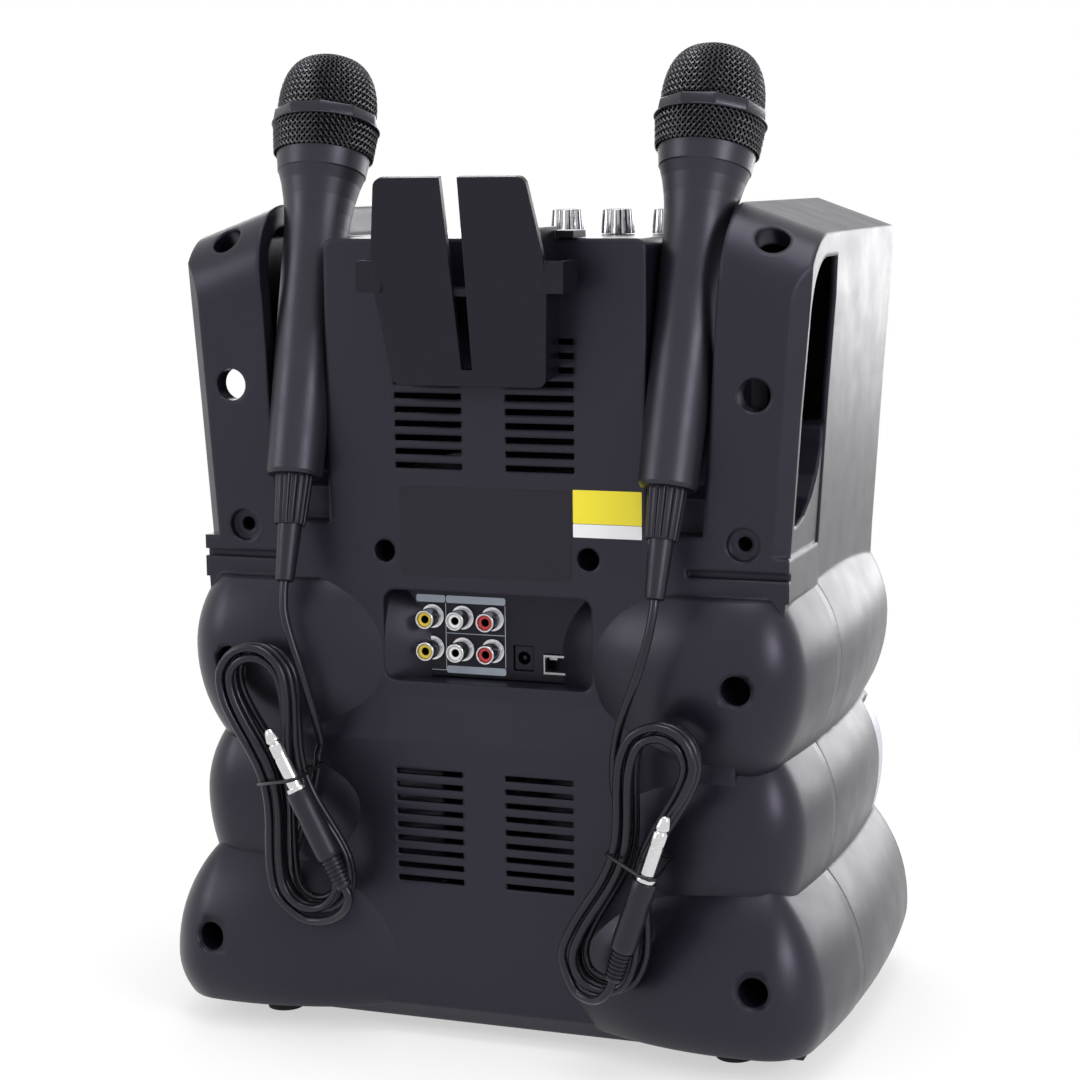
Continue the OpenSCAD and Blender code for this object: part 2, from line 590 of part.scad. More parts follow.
// Disc drive
chassis_z = tray_z - 7;
chassis_w = tray_w + 8;
tray_y = front_y + 2;
disc_y = tray_y + 4 + disc_r;
chassis_y1 = tray_y + tray_l + 4;
spindle_r = 13.5;
slot_half_w = 17;
pinion_r = gear_module * pinion_teeth / 2;
rack_x = -40;
rack_w = 6;
pinion_x = rack_x - pinion_r;
rack_pitch = PI * gear_module;
pinion_y = tray_y + 3.5 * rack_pitch;
backlash = 0.25;
function involute(rb, a) = rb * [cos(a) + a * PI / 180 * sin(a), sin(a) - a * PI / 180 * cos(a)];
function turn(p, a) = [p[0] * cos(a) - p[1] * sin(a), p[0] * sin(a) + p[1] * cos(a)];
// One tooth centred on angle 0, from its root up one flank and down the other
function tooth(n, m) =
  let (rp = m * n / 2, rb = rp * cos(20), ra = rp + 0.95 * m, rr = rp - 1.25 * m)
  let (inv = tan(20) * 180 / PI - 20, half = 90 / n - backlash * 90 / (PI * rp), amax = sqrt(pow(ra / rb, 2) - 1) * 180 / PI)
  let (flank = [for (i = [0:5]) turn(involute(rb, amax * i / 5), -half - inv)])
  concat([turn([rr, 0], -half - inv)], flank, [for (i = [5:-1:0]) [flank[i][0], -flank[i][1]]], [turn([rr, 0], half + inv)]);
module pinion_outline() polygon([for (k = [0:pinion_teeth - 1], p = tooth(pinion_teeth, gear_module)) turn(p, (k + 0.5) * 360 / pinion_teeth)]);
// Straight rack, teeth towards -x, with a tooth centred on y = 0
module rack_outline(n) {
  m = gear_module;
  h = rack_pitch / 4 - backlash / 4;
  polygon(concat([[rack_w, -rack_pitch / 2], [rack_w, (n - 0.5) * rack_pitch]],
    [for (k = [n - 1:-1:0], p = [[1.25 * m, h + 1.25 * m * tan(20)], [-0.95 * m, h - 0.95 * m * tan(20)],
      [-0.95 * m, 0.95 * m * tan(20) - h], [1.25 * m, -h - 1.25 * m * tan(20)]]) p + [0, k * rack_pitch]]));
}
rack_teeth = floor((tray_l - 4) / rack_pitch);
module disc_tray() color("#3c3b44") place() {
  difference() {
    translate([-tray_w / 2, tray_y, tray_z]) cube([tray_w, tray_l, tray_t]);
    translate([0, disc_y, tray_z + tray_t - disc_recess]) cylinder(r = disc_r, h = 10);
    translate([0, disc_y, tray_z + tray_t - disc_recess - 1.5]) cylinder(r = disc_r - 19, h = 10);
    translate([0, disc_y, tray_z - 1]) cylinder(r = slot_half_w, h = 20);
    translate([-slot_half_w, disc_y, tray_z - 1]) cube([2 * slot_half_w, tray_l, 20]);
  }
  translate([rack_x, pinion_y - 2 * rack_pitch, tray_z - 3.6]) linear_extrude(3.8)
    rack_outline(rack_teeth);
}
module tray_front() color(shell_col) place() {
  along_y(front_y - fascia_t - 3, front_y - fascia_t + 1)
    polygon(round_box(-tray_w / 2 - 1.5, tray_front_z - 0.5, tray_w / 2 + 1.5, tray_front_z + tray_front_h + 0.5, 1.5));
  translate([-tray_w / 2 + 2, front_y - fascia_t + 1, tray_z + 0.5]) cube([tray_w - 4, tray_y - front_y + fascia_t - 1, tray_t - 1]);
}
module drive_pinion() color("#d9d6c8") place() translate([pinion_x, pinion_y, 0]) difference() {
  translate([0, 0, tray_z - 4]) linear_extrude(3.5) pinion_outline();
  translate([0, 0, tray_z - 5]) cylinder(r = 2.05, h = 6);
}
module drive_chassis() color("#8d8f92") place() {
  difference() {
    translate([-chassis_w / 2, front_y + 1, chassis_z]) cube([chassis_w, chassis_y1 - front_y - 1, 1.5]);
    translate([-slot_half_w, disc_y - 14, chassis_z - 1]) cube([2 * slot_half_w, 62, 4]);
    both() rod_y(panel_hole[0], panel_hole[1], panel_hole_r + 2 + gap, seam_y - 1, 0);
  }
  both() {
    translate([tray_w / 2 + 1.4, front_y + 1, chassis_z]) cube([chassis_w / 2 - tray_w / 2 - 1.4, chassis_y1 - front_y - 1, 20]);
    translate([tray_w / 2 - 3, front_y + 1, tray_z - 2.3]) cube([6, chassis_y1 - front_y - 1, 2]);
    translate([tray_w / 2 - 1, front_y + 1, tray_z + tray_t + gap]) cube([4, chassis_y1 - front_y - 1, 2]);
  }
  translate([-chassis_w / 2, chassis_y1 - 2, chassis_z]) cube([chassis_w, 2, 20]);
  translate([pinion_x, pinion_y, chassis_z]) cylinder(r = 2, h = 6);
  translate([pinion_x, pinion_y, chassis_z]) cylinder(r = 4, h = 2.7);
  difference() {
    translate([-chassis_w / 2, disc_y - 22, chassis_z + 18]) cube([chassis_w, 44, 2]);
    translate([0, disc_y, chassis_z]) cylinder(r = 9, h = 40);
  }
  translate([-slot_half_w, disc_y - 15.5, chassis_z - 6]) cube([2 * slot_half_w, 1.5, 7]);
  translate([-slot_half_w, disc_y + 48, chassis_z - 6]) cube([2 * slot_half_w, 1.5, 7]);
  translate([-slot_half_w, disc_y - 15.5, chassis_z - 6]) cube([2 * slot_half_w, 30, 1]);
  for (x = [-14, 14]) translate([x, disc_y + 48.2, chassis_z - 2]) rotate([90, 0, 0]) cylinder(r = 1.5, h = 62.4);
}
module spindle() color(metal_col) place() translate([0, disc_y, 0]) {
  translate([0, 0, chassis_z - 5 + gap]) cylinder(r = 10, h = 8);
  translate([0, 0, chassis_z + 3]) cylinder(r = spindle_r, h = tray_z + tray_t - disc_recess - 1 - chassis_z - 3);
  translate([0, 0, tray_z + tray_t - disc_recess - 1.2]) cylinder(r1 = 7.4, r2 = 6.6, h = 3);
}
module disc_clamp() color("#3c3b44") place() translate([0, disc_y, chassis_z + 20 + gap]) {
  cylinder(r = 12, h = 1.6);
  translate([0, 0, -4.5]) cylinder(r = 8.4, h = 4.6);
}
module pickup_sled() color("#2a2a2e") place() {
  y0 = disc_y + 17;
  difference() {
    translate([-16.5, y0, chassis_z - 4.5]) cube([33, 16, 6]);
    for (x = [-14, 14]) translate([x, y0 + 30, chassis_z - 2]) rotate([90, 0, 0]) cylinder(r = 1.55, h = 60);
  }
  translate([0, y0 + 8, chassis_z + 1.4]) cylinder(r = 4, h = 2);
}

// Speaker
cone_y = front_y + 1;
module speaker_grille() color("#17171b") place() {
  y0 = front_y - fascia_t - 1;
  difference() {
    rod_y(0, speaker_z, speaker_hole_r + 4, y0, y0 + 1);
    rod_y(0, speaker_z, speaker_hole_r - 2, y0 - 1, y0 + 3);
  }
  difference() {
    rod_y(0, speaker_z, speaker_hole_r - gap, y0, y0 + 3);
    rod_y(0, speaker_z, speaker_hole_r - 2, y0 - 1, y0 + 4);
  }
  for (r = [6:8:speaker_hole_r - 6]) difference() {
    rod_y(0, speaker_z, r + 1.2, y0, y0 + 2);
    rod_y(0, speaker_z, r - 1.2, y0 - 1, y0 + 3);
  }
  for (a = [0:30:150]) translate([0, y0, speaker_z]) rotate([0, a, 0]) translate([1.2 - speaker_hole_r, 0, -1.1])
    cube([2 * speaker_hole_r - 2.4, 2, 2.2]);
}
module speaker_basket() color("#5a5b60") place() translate([0, front_y, speaker_z]) rotate([-90, 0, 0]) rotate_extrude()
  polygon([[cone_r + 2, 0], [cone_r + 9, 0], [cone_r + 9, 2], [cone_r + 3, 2], [magnet_r, cone_d + 8], [magnet_r, cone_d + 11],
    [magnet_r - 10, cone_d + 11], [magnet_r - 10, cone_d + 9], [cone_r + 2, 1.5]]);
module speaker_cone() color("#26262a") place() translate([0, front_y, speaker_z]) rotate([-90, 0, 0]) rotate_extrude()
  polygon([[cone_r + 2, 0.2], [cone_r + 2, 1.2], [cone_r - 3, 2.8], [14, cone_d + 1.2], [14, cone_d + 8.8], [12, cone_d + 8.8],
    [12, cone_d - 3], [0, cone_d - 8], [0, cone_d - 9], [13, cone_d - 4], [cone_r - 4, 1.8], [cone_r - 1, -1.5]]);
module speaker_magnet() color("#44454a") place() translate([0, front_y + cone_d + 11, speaker_z]) rotate([-90, 0, 0]) {
  cylinder(r = magnet_r, h = 16);
  cylinder(r = magnet_r - 5, h = 19);
}

// Rear connectors
phono_x = 15.7;
phono_z = 169;
collar_r = phono_r + 1.2;
module av_plate() color(trim_col) place() difference() {
  along_y(-recess_d - wall, -recess_d)
    polygon(round_box(-recess_half_w + gap, recess_z + gap, recess_half_w - gap, recess_z + recess_h - gap, 5));
  for (i = [-1:1], k = [0, 1]) rod_y(phono_x + i * phono_pitch_x, phono_z + k * phono_pitch_z, collar_r + 0.1, -30, 0);
  translate([-16.4, -20, 161]) cube([9, 10, 11]);
  translate([-28.2 - port_w / 2 - 0.9, -20, 160.2]) cube([port_w + 1.8, 10, 8.9]);
}
module phono_sockets() color(metal_col) place()
  for (i = [-1:1], k = [0, 1]) translate([phono_x + i * phono_pitch_x, -3, phono_z + k * phono_pitch_z]) rotate([90, 0, 0]) difference() {
    union() {
      cylinder(r = phono_r, h = recess_d);
      translate([0, 0, recess_d - 3]) cylinder(r = collar_r, h = wall + 0.2);
      translate([-4.9, -4.9, recess_d - 3 + wall + 0.1]) cube([9.8, 9.8, 8]);
    }
    translate([0, 0, -1]) cylinder(r = 1.6, h = 9);
  }
module dc_jack() color("#141416") place() {
  difference() {
    translate([-16.2, -recess_d - wall - 11, 161.2]) cube([8.6, wall + 10, 10.6]);
    rod_y(-11.9, 166.5, inlet_r, -recess_d - wall - 9, 0);
  }
  rod_y(-11.9, 166.5, 1, -recess_d - wall - 9.2, -recess_d - 2);
}
module usb_port() color(metal_col) place() {
  difference() {
    translate([-28.2 - port_w / 2 - 0.6, -recess_d - wall - 12, 160.5]) cube([port_w + 1.2, wall + 13, 8.3]);
    translate([-28.2 - port_w / 2, -recess_d - wall - 11, 161.4]) cube([port_w, 30, 6.5]);
  }
  translate([-28.2 - port_w / 2 + 0.8, -recess_d - wall - 11.2, 166.1]) cube([port_w - 1.6, 11, 1.4]);
}
module jack_board() color("#2f5d3a") place() {
  translate([-40, -recess_d - wall - 13.6, recess_z + 1]) cube([80, 1.6, recess_h - 4]);
  for (x = [-39, 35]) translate([x, -recess_d - wall - 12.1, recess_z + 3]) cube([4, 12.1, 4]);
}
module main_board() color("#2f5d3a") place() {
  translate([-80, -96, foot_h + wall + 8]) cube([160, 70, 1.6]);
  for (x = [-76, 72], y = [-92, -34]) translate([x, y, foot_h + wall]) cube([4, 4, 8.2]);
  translate([-30, -80, foot_h + wall + 9.5]) cube([60, 30, 12]);
  translate([40, -85, foot_h + wall + 9.5]) cylinder(r = 8, h = 20);
  translate([60, -85, foot_h + wall + 9.5]) cylinder(r = 8, h = 20);
}

// Fasteners and feet
module screw(x, z, y) {
  rod_y(x, z, 3.6, y, y + 2.4);
  rod_y(x, z, 1.7, y - 14, y + 0.1);
}
module case_screws() color("#8d8f92") place() both() {
  for (h = lobe_holes) screw(h[0], h[1], seam_y + 8);
  screw(panel_hole[0], panel_hole[1], seam_y + 8);
}
module feet() color("#1a1a1c") place()
  for (x = [-foot_x, foot_x], y = [-14, front_y + 20]) translate([x, y, 0]) {
    cylinder(r1 = foot_r - 1, r2 = foot_r, h = foot_h);
  }

// Phone cradle
module cradle() color("#26262c") place() {
  difference() {
    translate([0, 13, cradle_z]) rotate([-cradle_lean, 0, 0]) difference() {
      translate([0, cradle_t, 0]) rotate([90, 0, 0]) linear_extrude(cradle_t)
        polygon(concat(arc([cradle_half_w - 4, 4], 4, -90, 0, 4), [[cradle_half_w + 3.5, 40], [cradle_half_w + 3.2, 55]],
          arc([cradle_half_w - 5, cradle_l - 4], 4, 0, 90, 4), arc([5 - cradle_half_w, cradle_l - 4], 4, 90, 180, 4),
          [[-cradle_half_w - 3.2, 55], [-cradle_half_w - 3.5, 40]], arc([4 - cradle_half_w, 4], 4, 180, 270, 4)));
      translate([0, cradle_t + 1, 0]) rotate([90, 0, 0]) linear_extrude(cradle_t + 2)
        polygon([[-2.4, 7], [2.4, 7], [3.9, cradle_l + 1], [-3.9, cradle_l + 1]]);
    }
  }
  both() {
    along_x(cradle_half_w - cradle_t, cradle_half_w) polygon([[gap, cradle_z + 4], [14, cradle_z + 2], [26, deck_z - 1], [23, deck_z + 5],
      [gap, deck_z + 5]]);
    along_x(cradle_half_w - cradle_t, cradle_half_w + 8) polygon([[seam_y + 38, deck_z + gap], [4, deck_z + gap],
      [4, deck_z + 3.3], [seam_y + 38, deck_z + 3.3]]);
    difference() {
      translate([cradle_half_w, 8, 323.5]) cube([11, 18, 13]);
      translate([cradle_half_w - 1, 7, 325.5]) cube([9.5, 16.5, 13]);
    }
  }
  translate([cradle_t - cradle_half_w - 1, gap, 322]) cube([2 * cradle_half_w - 2 * cradle_t + 2, 22, cradle_t]);
}

// Microphones
relief_t = 198;
module mic_grille(s) color(trim_col) place() mirror([s, 0, 0]) at_mic() {
  rotate_extrude() polygon(concat([[0, 7.9]], [for (i = [0:12]) let (a = 90 * i / 12)
    [(grille_r - 1.4) * pow(cos(a), 0.86), 7.9 + 26.8 * pow(sin(a), 0.92)]]));
  translate([0, 0, -11]) cylinder(r1 = grille_r - 1.4, r2 = grille_r, h = 12.8);
}
module mic_ring(s) color(trim_col) place() mirror([s, 0, 0]) at_mic() {
  translate([0, 0, 1.8]) cylinder(r = grille_r + 1.1, h = 0.8);
  translate([0, 0, 2.6]) cylinder(r = grille_r + 0.9, h = 5.3, $fn = 10);
}
module mic_grip(s) color(shell_col) place() mirror([s, 0, 0]) at_mic() difference() {
  rotate_extrude() polygon([[0, -11], [20.3, -11], [19.2, -18.8], [18.8, -19.2], [17.2, -24], [15.6, -31], [14.6, -38],
    [grip_top_r, -grip_top_t], [grip_end_r, -grip_l], [grip_end_r - 1, -grip_l - 1.5], [0, -grip_l - 1.5]]);
  translate([-4, -21, -38]) cube([8, 7.4, 13]);
}
module mic_switch(s) color(metal_col) place() mirror([s, 0, 0]) at_mic() translate([-3, -15.9, -36.6]) cube([6, 2.2, 5.4]);
module mic_relief(s) color(trim_col) place() mirror([s, 0, 0]) at_mic() {
  difference() {
    translate([0, 0, -grip_l - 22.5]) cylinder(r1 = 6.9, r2 = 8.2, h = 21);
    for (a = [0:30:330]) rotate([0, 0, a]) translate([8.4, 0, -grip_l - 23]) cylinder(r = 0.9, h = 19);
  }
  translate([0, 0, -relief_t]) cylinder(r1 = 4, r2 = 5.3, h = relief_t - grip_l - 22.4);
}

// Microphone cords: a free stretch, then a hank that hangs on it
cord_sides = 8;
hank_sides = 6;
hank_loops = 5;
hank_layers = 4;
rings_per_loop = 24;
hank_step = 4.6;
layer_step = 4.4;
hank_in_r = 10.5;
hank_half_l = 44;
waist = 8.6;
tilt = 16;
hank_left = [82.5, 18.6, 116.5];
hank_right = [-73, 18.6, 93.8];
plug_turn_left = 11.1;
plug_turn_right = -2.1;
boot_l = 45.4;
boot_r = 5.4;
plug_r = 3.17;
plug_l = 29;
// Free stretches, from the strain relief to the hank, in x, y and z
route_left = [[81.8, 23.7, 201.4], [81.6, 25.3, 196.6], [80.6, 27.2, 188], [77.6, 27.6, 177], [74, 27, 165],
  [71.4, 25, 153], [70, 21.6, 142], [70.2, 17.2, 133], [71.4, 15, 129], [72.7, 14.2, 125.5]];
route_right = [[-81.8, 23.7, 201.4], [-81.6, 25.3, 196.6], [-80, 27.4, 186], [-76, 28, 172], [-70.6, 27.4, 158],
  [-66.4, 25.6, 146], [-64, 23, 134], [-63.4, 20.6, 122], [-64.8, 19.2, 113.5],
  [-66.5, 18.7, 109.2], [-67.32, 18.6, 106.8], [-67.2, 18.6, 104.96]];
// Lead-in and run to the plug, in the frame of the hank: to its right, outwards and up
lead_left = [[11.9, -4.4, 5.8], [10.5, -4.6, 2], [8, -4.8, -3], [4, -4.8, -10], [-2, -4.8, -19], [-8, -4.8, -27],
  [-12.6, -4.8, -34], [-15.4, -4.7, -39.4]];
tail_left = [[-1, 14.4, -61.8], [7, 16.6, -61.8], [14, 19, -59.6], [18.8, 20.8, -56.2]];
tail_right = [[-3.4, 15, -60.6], [2, 17.8, -59.2], [6, 20.2, -55.4]];
end_left = [20, 21.2, -49];
end_right = [8.45, 21.2, -46.5];

function unit(v) = v / norm(v);
function tangents(p) = [for (i = [0:len(p) - 1]) unit(p[min(i + 1, len(p) - 1)] - p[max(i - 1, 0)])];
// Section frames carried along the route so that the tube doesn't twist
function carry(t, i, a) = i >= len(t) ? [] :
  let (b = unit(a - (a * t[i]) * t[i])) concat([b], carry(t, i + 1, b));
module tube(p, n, r) {
  t = tangents(p);
  a = carry(t, 0, [0, 1, 0]);
  last = (len(p) - 1) * n;
  polyhedron(
    [for (i = [0:len(p) - 1], k = [0:n - 1]) p[i] + r * (cos(360 * k / n) * a[i] + sin(360 * k / n) * cross(t[i], a[i]))],
    concat(
      [for (k = [1:n - 2]) [0, k + 1, k]],
      [for (i = [0:len(p) - 2], k = [0:n - 1]) [i * n + k, i * n + (k + 1) % n, (i + 1) * n + k]],
      [for (i = [0:len(p) - 2], k = [0:n - 1]) [i * n + (k + 1) % n, (i + 1) * n + (k + 1) % n, (i + 1) * n + k]],
      [for (k = [1:n - 2]) [last, last + k, last + k + 1]]));
}
// Smooth curve through hand-set points, m steps to a span
function spline(p, m) = concat([for (i = [0:len(p) - 2], j = [0:m - 1])
  let (a = p[max(i - 1, 0)], b = p[i], c = p[i + 1], d = p[min(i + 2, len(p) - 1)], t = j / m)
  0.5 * (2 * b + (c - a) * t + (2 * a - 5 * b + 4 * c - d) * t * t + (3 * b - a - 3 * c + d) * t * t * t)],
  [p[len(p) - 1]]);

turn_l = PI * (hank_in_r + 3);
loop_l = 4 * hank_half_l + 2 * turn_l;
// Point across and up the hank at share s of one loop: down the left run, round the foot, up the right run
function loop_shape(s, r) =
  let (run = hank_half_l, q = s * loop_l)
  q < run ? [-r, -q] :
  q < run + turn_l ? let (a = (q - run) / turn_l * 180) [-r * cos(a), -run - r * sin(a)] :
  q < 3 * run + turn_l ? [r, q - 2 * run - turn_l] :
  q < 3 * run + 2 * turn_l ? let (a = (q - 3 * run - turn_l) / turn_l * 180) [r * cos(a), run + r * sin(a)] :
  [-r, loop_l - q];
function smooth(x) = let (c = max(0, min(1, x))) c * c * (3 - 2 * c);
// Loops spiral in and out, one layer on the next, drawn in at the waist
function hank_point(tau, sink) =
  let (n = hank_loops / hank_layers, k = max(0, min(hank_layers - 1, floor(tau / n + 0.0001))), f = tau / n - k)
  let (o = hank_step * n * (k % 2 == 0 ? 1 - f : f), p = loop_shape(tau - floor(tau), hank_in_r + o))
  let (pull = waist * pow(cos(90 * min(1, abs(p[1]) / hank_half_l)), 2))
  [p[0] - sign(p[0]) * pull, layer_step * (k + (k < hank_layers - 1 ? smooth((f - 0.88) / 0.12) : 0)) - sink, p[1]];
hank_last = hank_loops + (hank_half_l + 0.33 * turn_l) / loop_l;
function hank_loops_path(t0, sink) = let (n = round((hank_last - t0) * rings_per_loop))
  [for (i = [0:n]) let (tau = t0 + (hank_last - t0) * i / n) hank_point(tau, sink * (1 - smooth((tau - t0) / 0.16)))];
function plug_way(turn) = [-sin(turn), 0, cos(turn)];
function hank_path(lead, t0, sink, tail, end, turn) =
  concat(lead, hank_loops_path(t0, sink), tail, [end - cord_d * plug_way(turn), end]);
function to_world(p, c, a) = [c[0] - p[0] * cos(a) + p[2] * sin(a), c[1] + p[1], c[2] + p[0] * sin(a) + p[2] * cos(a)];
path_left = [for (p = hank_path(lead_left, hank_half_l / loop_l, 4.7, tail_left, end_left, plug_turn_left))
  to_world(p, hank_left, tilt)];
path_right = [for (p = hank_path([], -9 / loop_l, 0, tail_right, end_right, plug_turn_right))
  to_world(p, hank_right, -tilt)];
function least_gap(p, skip) = min([for (i = [0:len(p) - 1]) for (j = [i + skip:1:len(p) - 1]) norm(p[i] - p[j])]) - cord_d;
echo("Least gap of the left hank to itself, mm", least_gap(path_left, 7));
echo("Least gap of the right hank to itself, mm", least_gap(path_right, 7));

module cord(route) color("#222229") place() tube(spline(route, 3), cord_sides, cord_d / 2);
module hank(path) color("#222229") place() tube(path, hank_sides, cord_d / 2);
module at_hank(c, a, p, turn) translate(to_world(p, c, a)) rotate([0, a + turn, 0]) children();
module cord_tie(c, a) color("#3a3a40") place() translate(to_world([0, 0, 1], c, a)) rotate([0, a, 0]) linear_extrude(1.8)
  difference() {
    offset(delta = 1.2) tie_outline();
    tie_outline();
  }
module tie_outline() mirror([1, 0]) polygon([[-9.7, 14.2], [-9.7, -1.4], [-8.6, -2.4], [11.4, -7.2], [12.5, -5.6],
  [12.6, 0], [13.55, 20.2], [13.5, 22.4], [12, 24.35], [9.6, 24.55], [8.2, 24.1], [-8.2, 15.4]]);
module plug(c, a, end, turn) color(metal_col) place() at_hank(c, a, end, turn) translate([0, 0, boot_l]) rotate_extrude()
  polygon([[0, 0], [plug_r, 0], [plug_r, 21.4], [2.6, 21.9], [2.6, 22.6], [plug_r, 23.4], [2.1, 27.6], [1.2, plug_l], [0, plug_l]]);
module plug_boot(c, a, end, turn) color(trim_col) place() at_hank(c, a, end, turn) rotate_extrude()
  polygon([[0, 0], [3.4, 0], [4.2, 13.6], [boot_r - 0.4, 14], [boot_r, 17], [boot_r, 35], [boot_r - 0.5, boot_l], [0, boot_l]]);

rear_cover();
front_cabinet();
front_fascia();
light_lens();
deck();
volume_pots();
knob(0);  // knob_1
knob(1);  // knob_2
knob(2);  // knob_3
screen_bezel();
screen_window();
lcd_panel();
button(0);  // button_1
button(1);  // button_2
button(2);  // button_3
button(3);  // button_4
button(4);  // button_5
power_button();
button_board();
mic_jacks();
disc_tray();
tray_front();
drive_pinion();
drive_chassis();
spindle();
disc_clamp();
pickup_sled();
speaker_grille();
speaker_basket();
speaker_cone();
speaker_magnet();
av_plate();
phono_sockets();
dc_jack();
usb_port();
jack_board();
main_board();
case_screws();
feet();
cradle();
mic_grille(0);  // mic_left_grille
mic_ring(0);  // mic_left_ring
mic_grip(0);  // mic_left_grip
mic_switch(0);  // mic_left_switch
mic_relief(0);  // mic_left_relief
cord(route_left);  // mic_left_cord
hank(path_left);  // mic_left_hank
cord_tie(hank_left, tilt);  // mic_left_tie
plug(hank_left, tilt, end_left, plug_turn_left);  // mic_left_plug
plug_boot(hank_left, tilt, end_left, plug_turn_left);  // mic_left_boot
mic_grille(1);  // mic_right_grille
mic_ring(1);  // mic_right_ring
mic_grip(1);  // mic_right_grip
mic_switch(1);  // mic_right_switch
mic_relief(1);  // mic_right_relief
cord(route_right);  // mic_right_cord
hank(path_right);  // mic_right_hank
cord_tie(hank_right, -tilt);  // mic_right_tie
plug(hank_right, -tilt, end_right, plug_turn_right);  // mic_right_plug
plug_boot(hank_right, -tilt, end_right, plug_turn_right);  // mic_right_boot
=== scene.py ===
"""Looks of a karaoke machine with a disc tray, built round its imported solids.

The machine's rear panel faces +Y and its screen faces -Y. Sizes in the classes are
millimetres from the machine's own datum: the middle plane, the upper rear panel and
the plane that the feet stand on. The function spot turns them into scene metres.
"""

from __future__ import annotations

import json
import logging
import math
from dataclasses import dataclass
from enum import Enum
from typing import Sequence

import bmesh
import bpy
from mathutils import Euler, Matrix, Vector

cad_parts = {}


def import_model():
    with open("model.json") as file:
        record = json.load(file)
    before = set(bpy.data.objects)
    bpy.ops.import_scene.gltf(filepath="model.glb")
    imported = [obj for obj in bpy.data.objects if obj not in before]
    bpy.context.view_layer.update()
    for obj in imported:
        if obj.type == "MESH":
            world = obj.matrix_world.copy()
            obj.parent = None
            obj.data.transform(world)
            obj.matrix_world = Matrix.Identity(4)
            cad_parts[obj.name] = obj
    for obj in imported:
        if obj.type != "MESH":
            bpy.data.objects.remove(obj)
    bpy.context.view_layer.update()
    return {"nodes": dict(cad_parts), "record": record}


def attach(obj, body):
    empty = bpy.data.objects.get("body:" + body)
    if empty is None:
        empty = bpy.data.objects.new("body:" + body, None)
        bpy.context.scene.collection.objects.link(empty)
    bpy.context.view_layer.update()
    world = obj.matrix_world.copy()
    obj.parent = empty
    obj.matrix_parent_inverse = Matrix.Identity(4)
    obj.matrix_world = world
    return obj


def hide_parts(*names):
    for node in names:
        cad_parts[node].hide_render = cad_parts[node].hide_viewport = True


LOG = logging.getLogger("karaoke_machine")
MM = 0.001
PANEL_Y = 66.55
CONSOLE = "console"
LIFT = 0.02
WHITE = (1.0, 1.0, 1.0)

Point = Sequence[float]
Colour = tuple[float, float, float]
Spot = tuple[float, float, float]
Pair = tuple[float, float]
Profile = Sequence[Pair]
Shape = bmesh.types.BMesh
Socket = bpy.types.NodeSocket


class Side(Enum):
    """Side of the machine, with the sign of its X."""

    LEFT = 1
    RIGHT = -1

    @property
    def word(self) -> str:
        """Name of the side as the bodies have it."""
        return self.name.lower()

    @property
    def mirror(self) -> Matrix:
        """Matrix that turns a left-hand shape into this side's."""
        return Matrix.Diagonal((self.value, 1, 1, 1))


def spot(x: float, y: float, z: float) -> Vector:
    """Place a point of the machine's datum, in millimetres, in the scene."""
    return Vector((x, y + PANEL_Y, z)) * MM


def datum_matrix() -> Matrix:
    """Matrix from datum millimetres to scene metres."""
    return Matrix.Diagonal((MM, MM, MM, 1)) @ Matrix.Translation((0, PANEL_Y, 0))


class Nodes:
    """Short way to lay out the nodes of a world or a material."""

    def __init__(self, holder: bpy.types.ID) -> None:
        """Start with no nodes.

        Args:
            holder: the world or material.
        """
        holder.use_nodes = True
        self.tree = holder.node_tree
        self.tree.nodes.clear()

    def add(
        self, kind: str, *sources: Socket, values: dict[str, object] | None = None, **settings: object,
    ) -> bpy.types.Node:
        """Add a node.

        Args:
            kind: the shader node's type.
            sources: what its first inputs take.
            values: values of its named inputs.
            settings: properties to set on it.

        Returns:
            The node.
        """
        node = self.tree.nodes.new(f"ShaderNode{kind}")
        for key, value in settings.items():
            setattr(node, key, value)
        for key, value in (values or {}).items():
            node.inputs[key].default_value = value
        for source, target in zip(sources, node.inputs):
            self.link(source, target)
        return node

    def link(self, source: Socket, target: Socket) -> None:
        """Join two sockets."""
        self.tree.links.new(source, target)


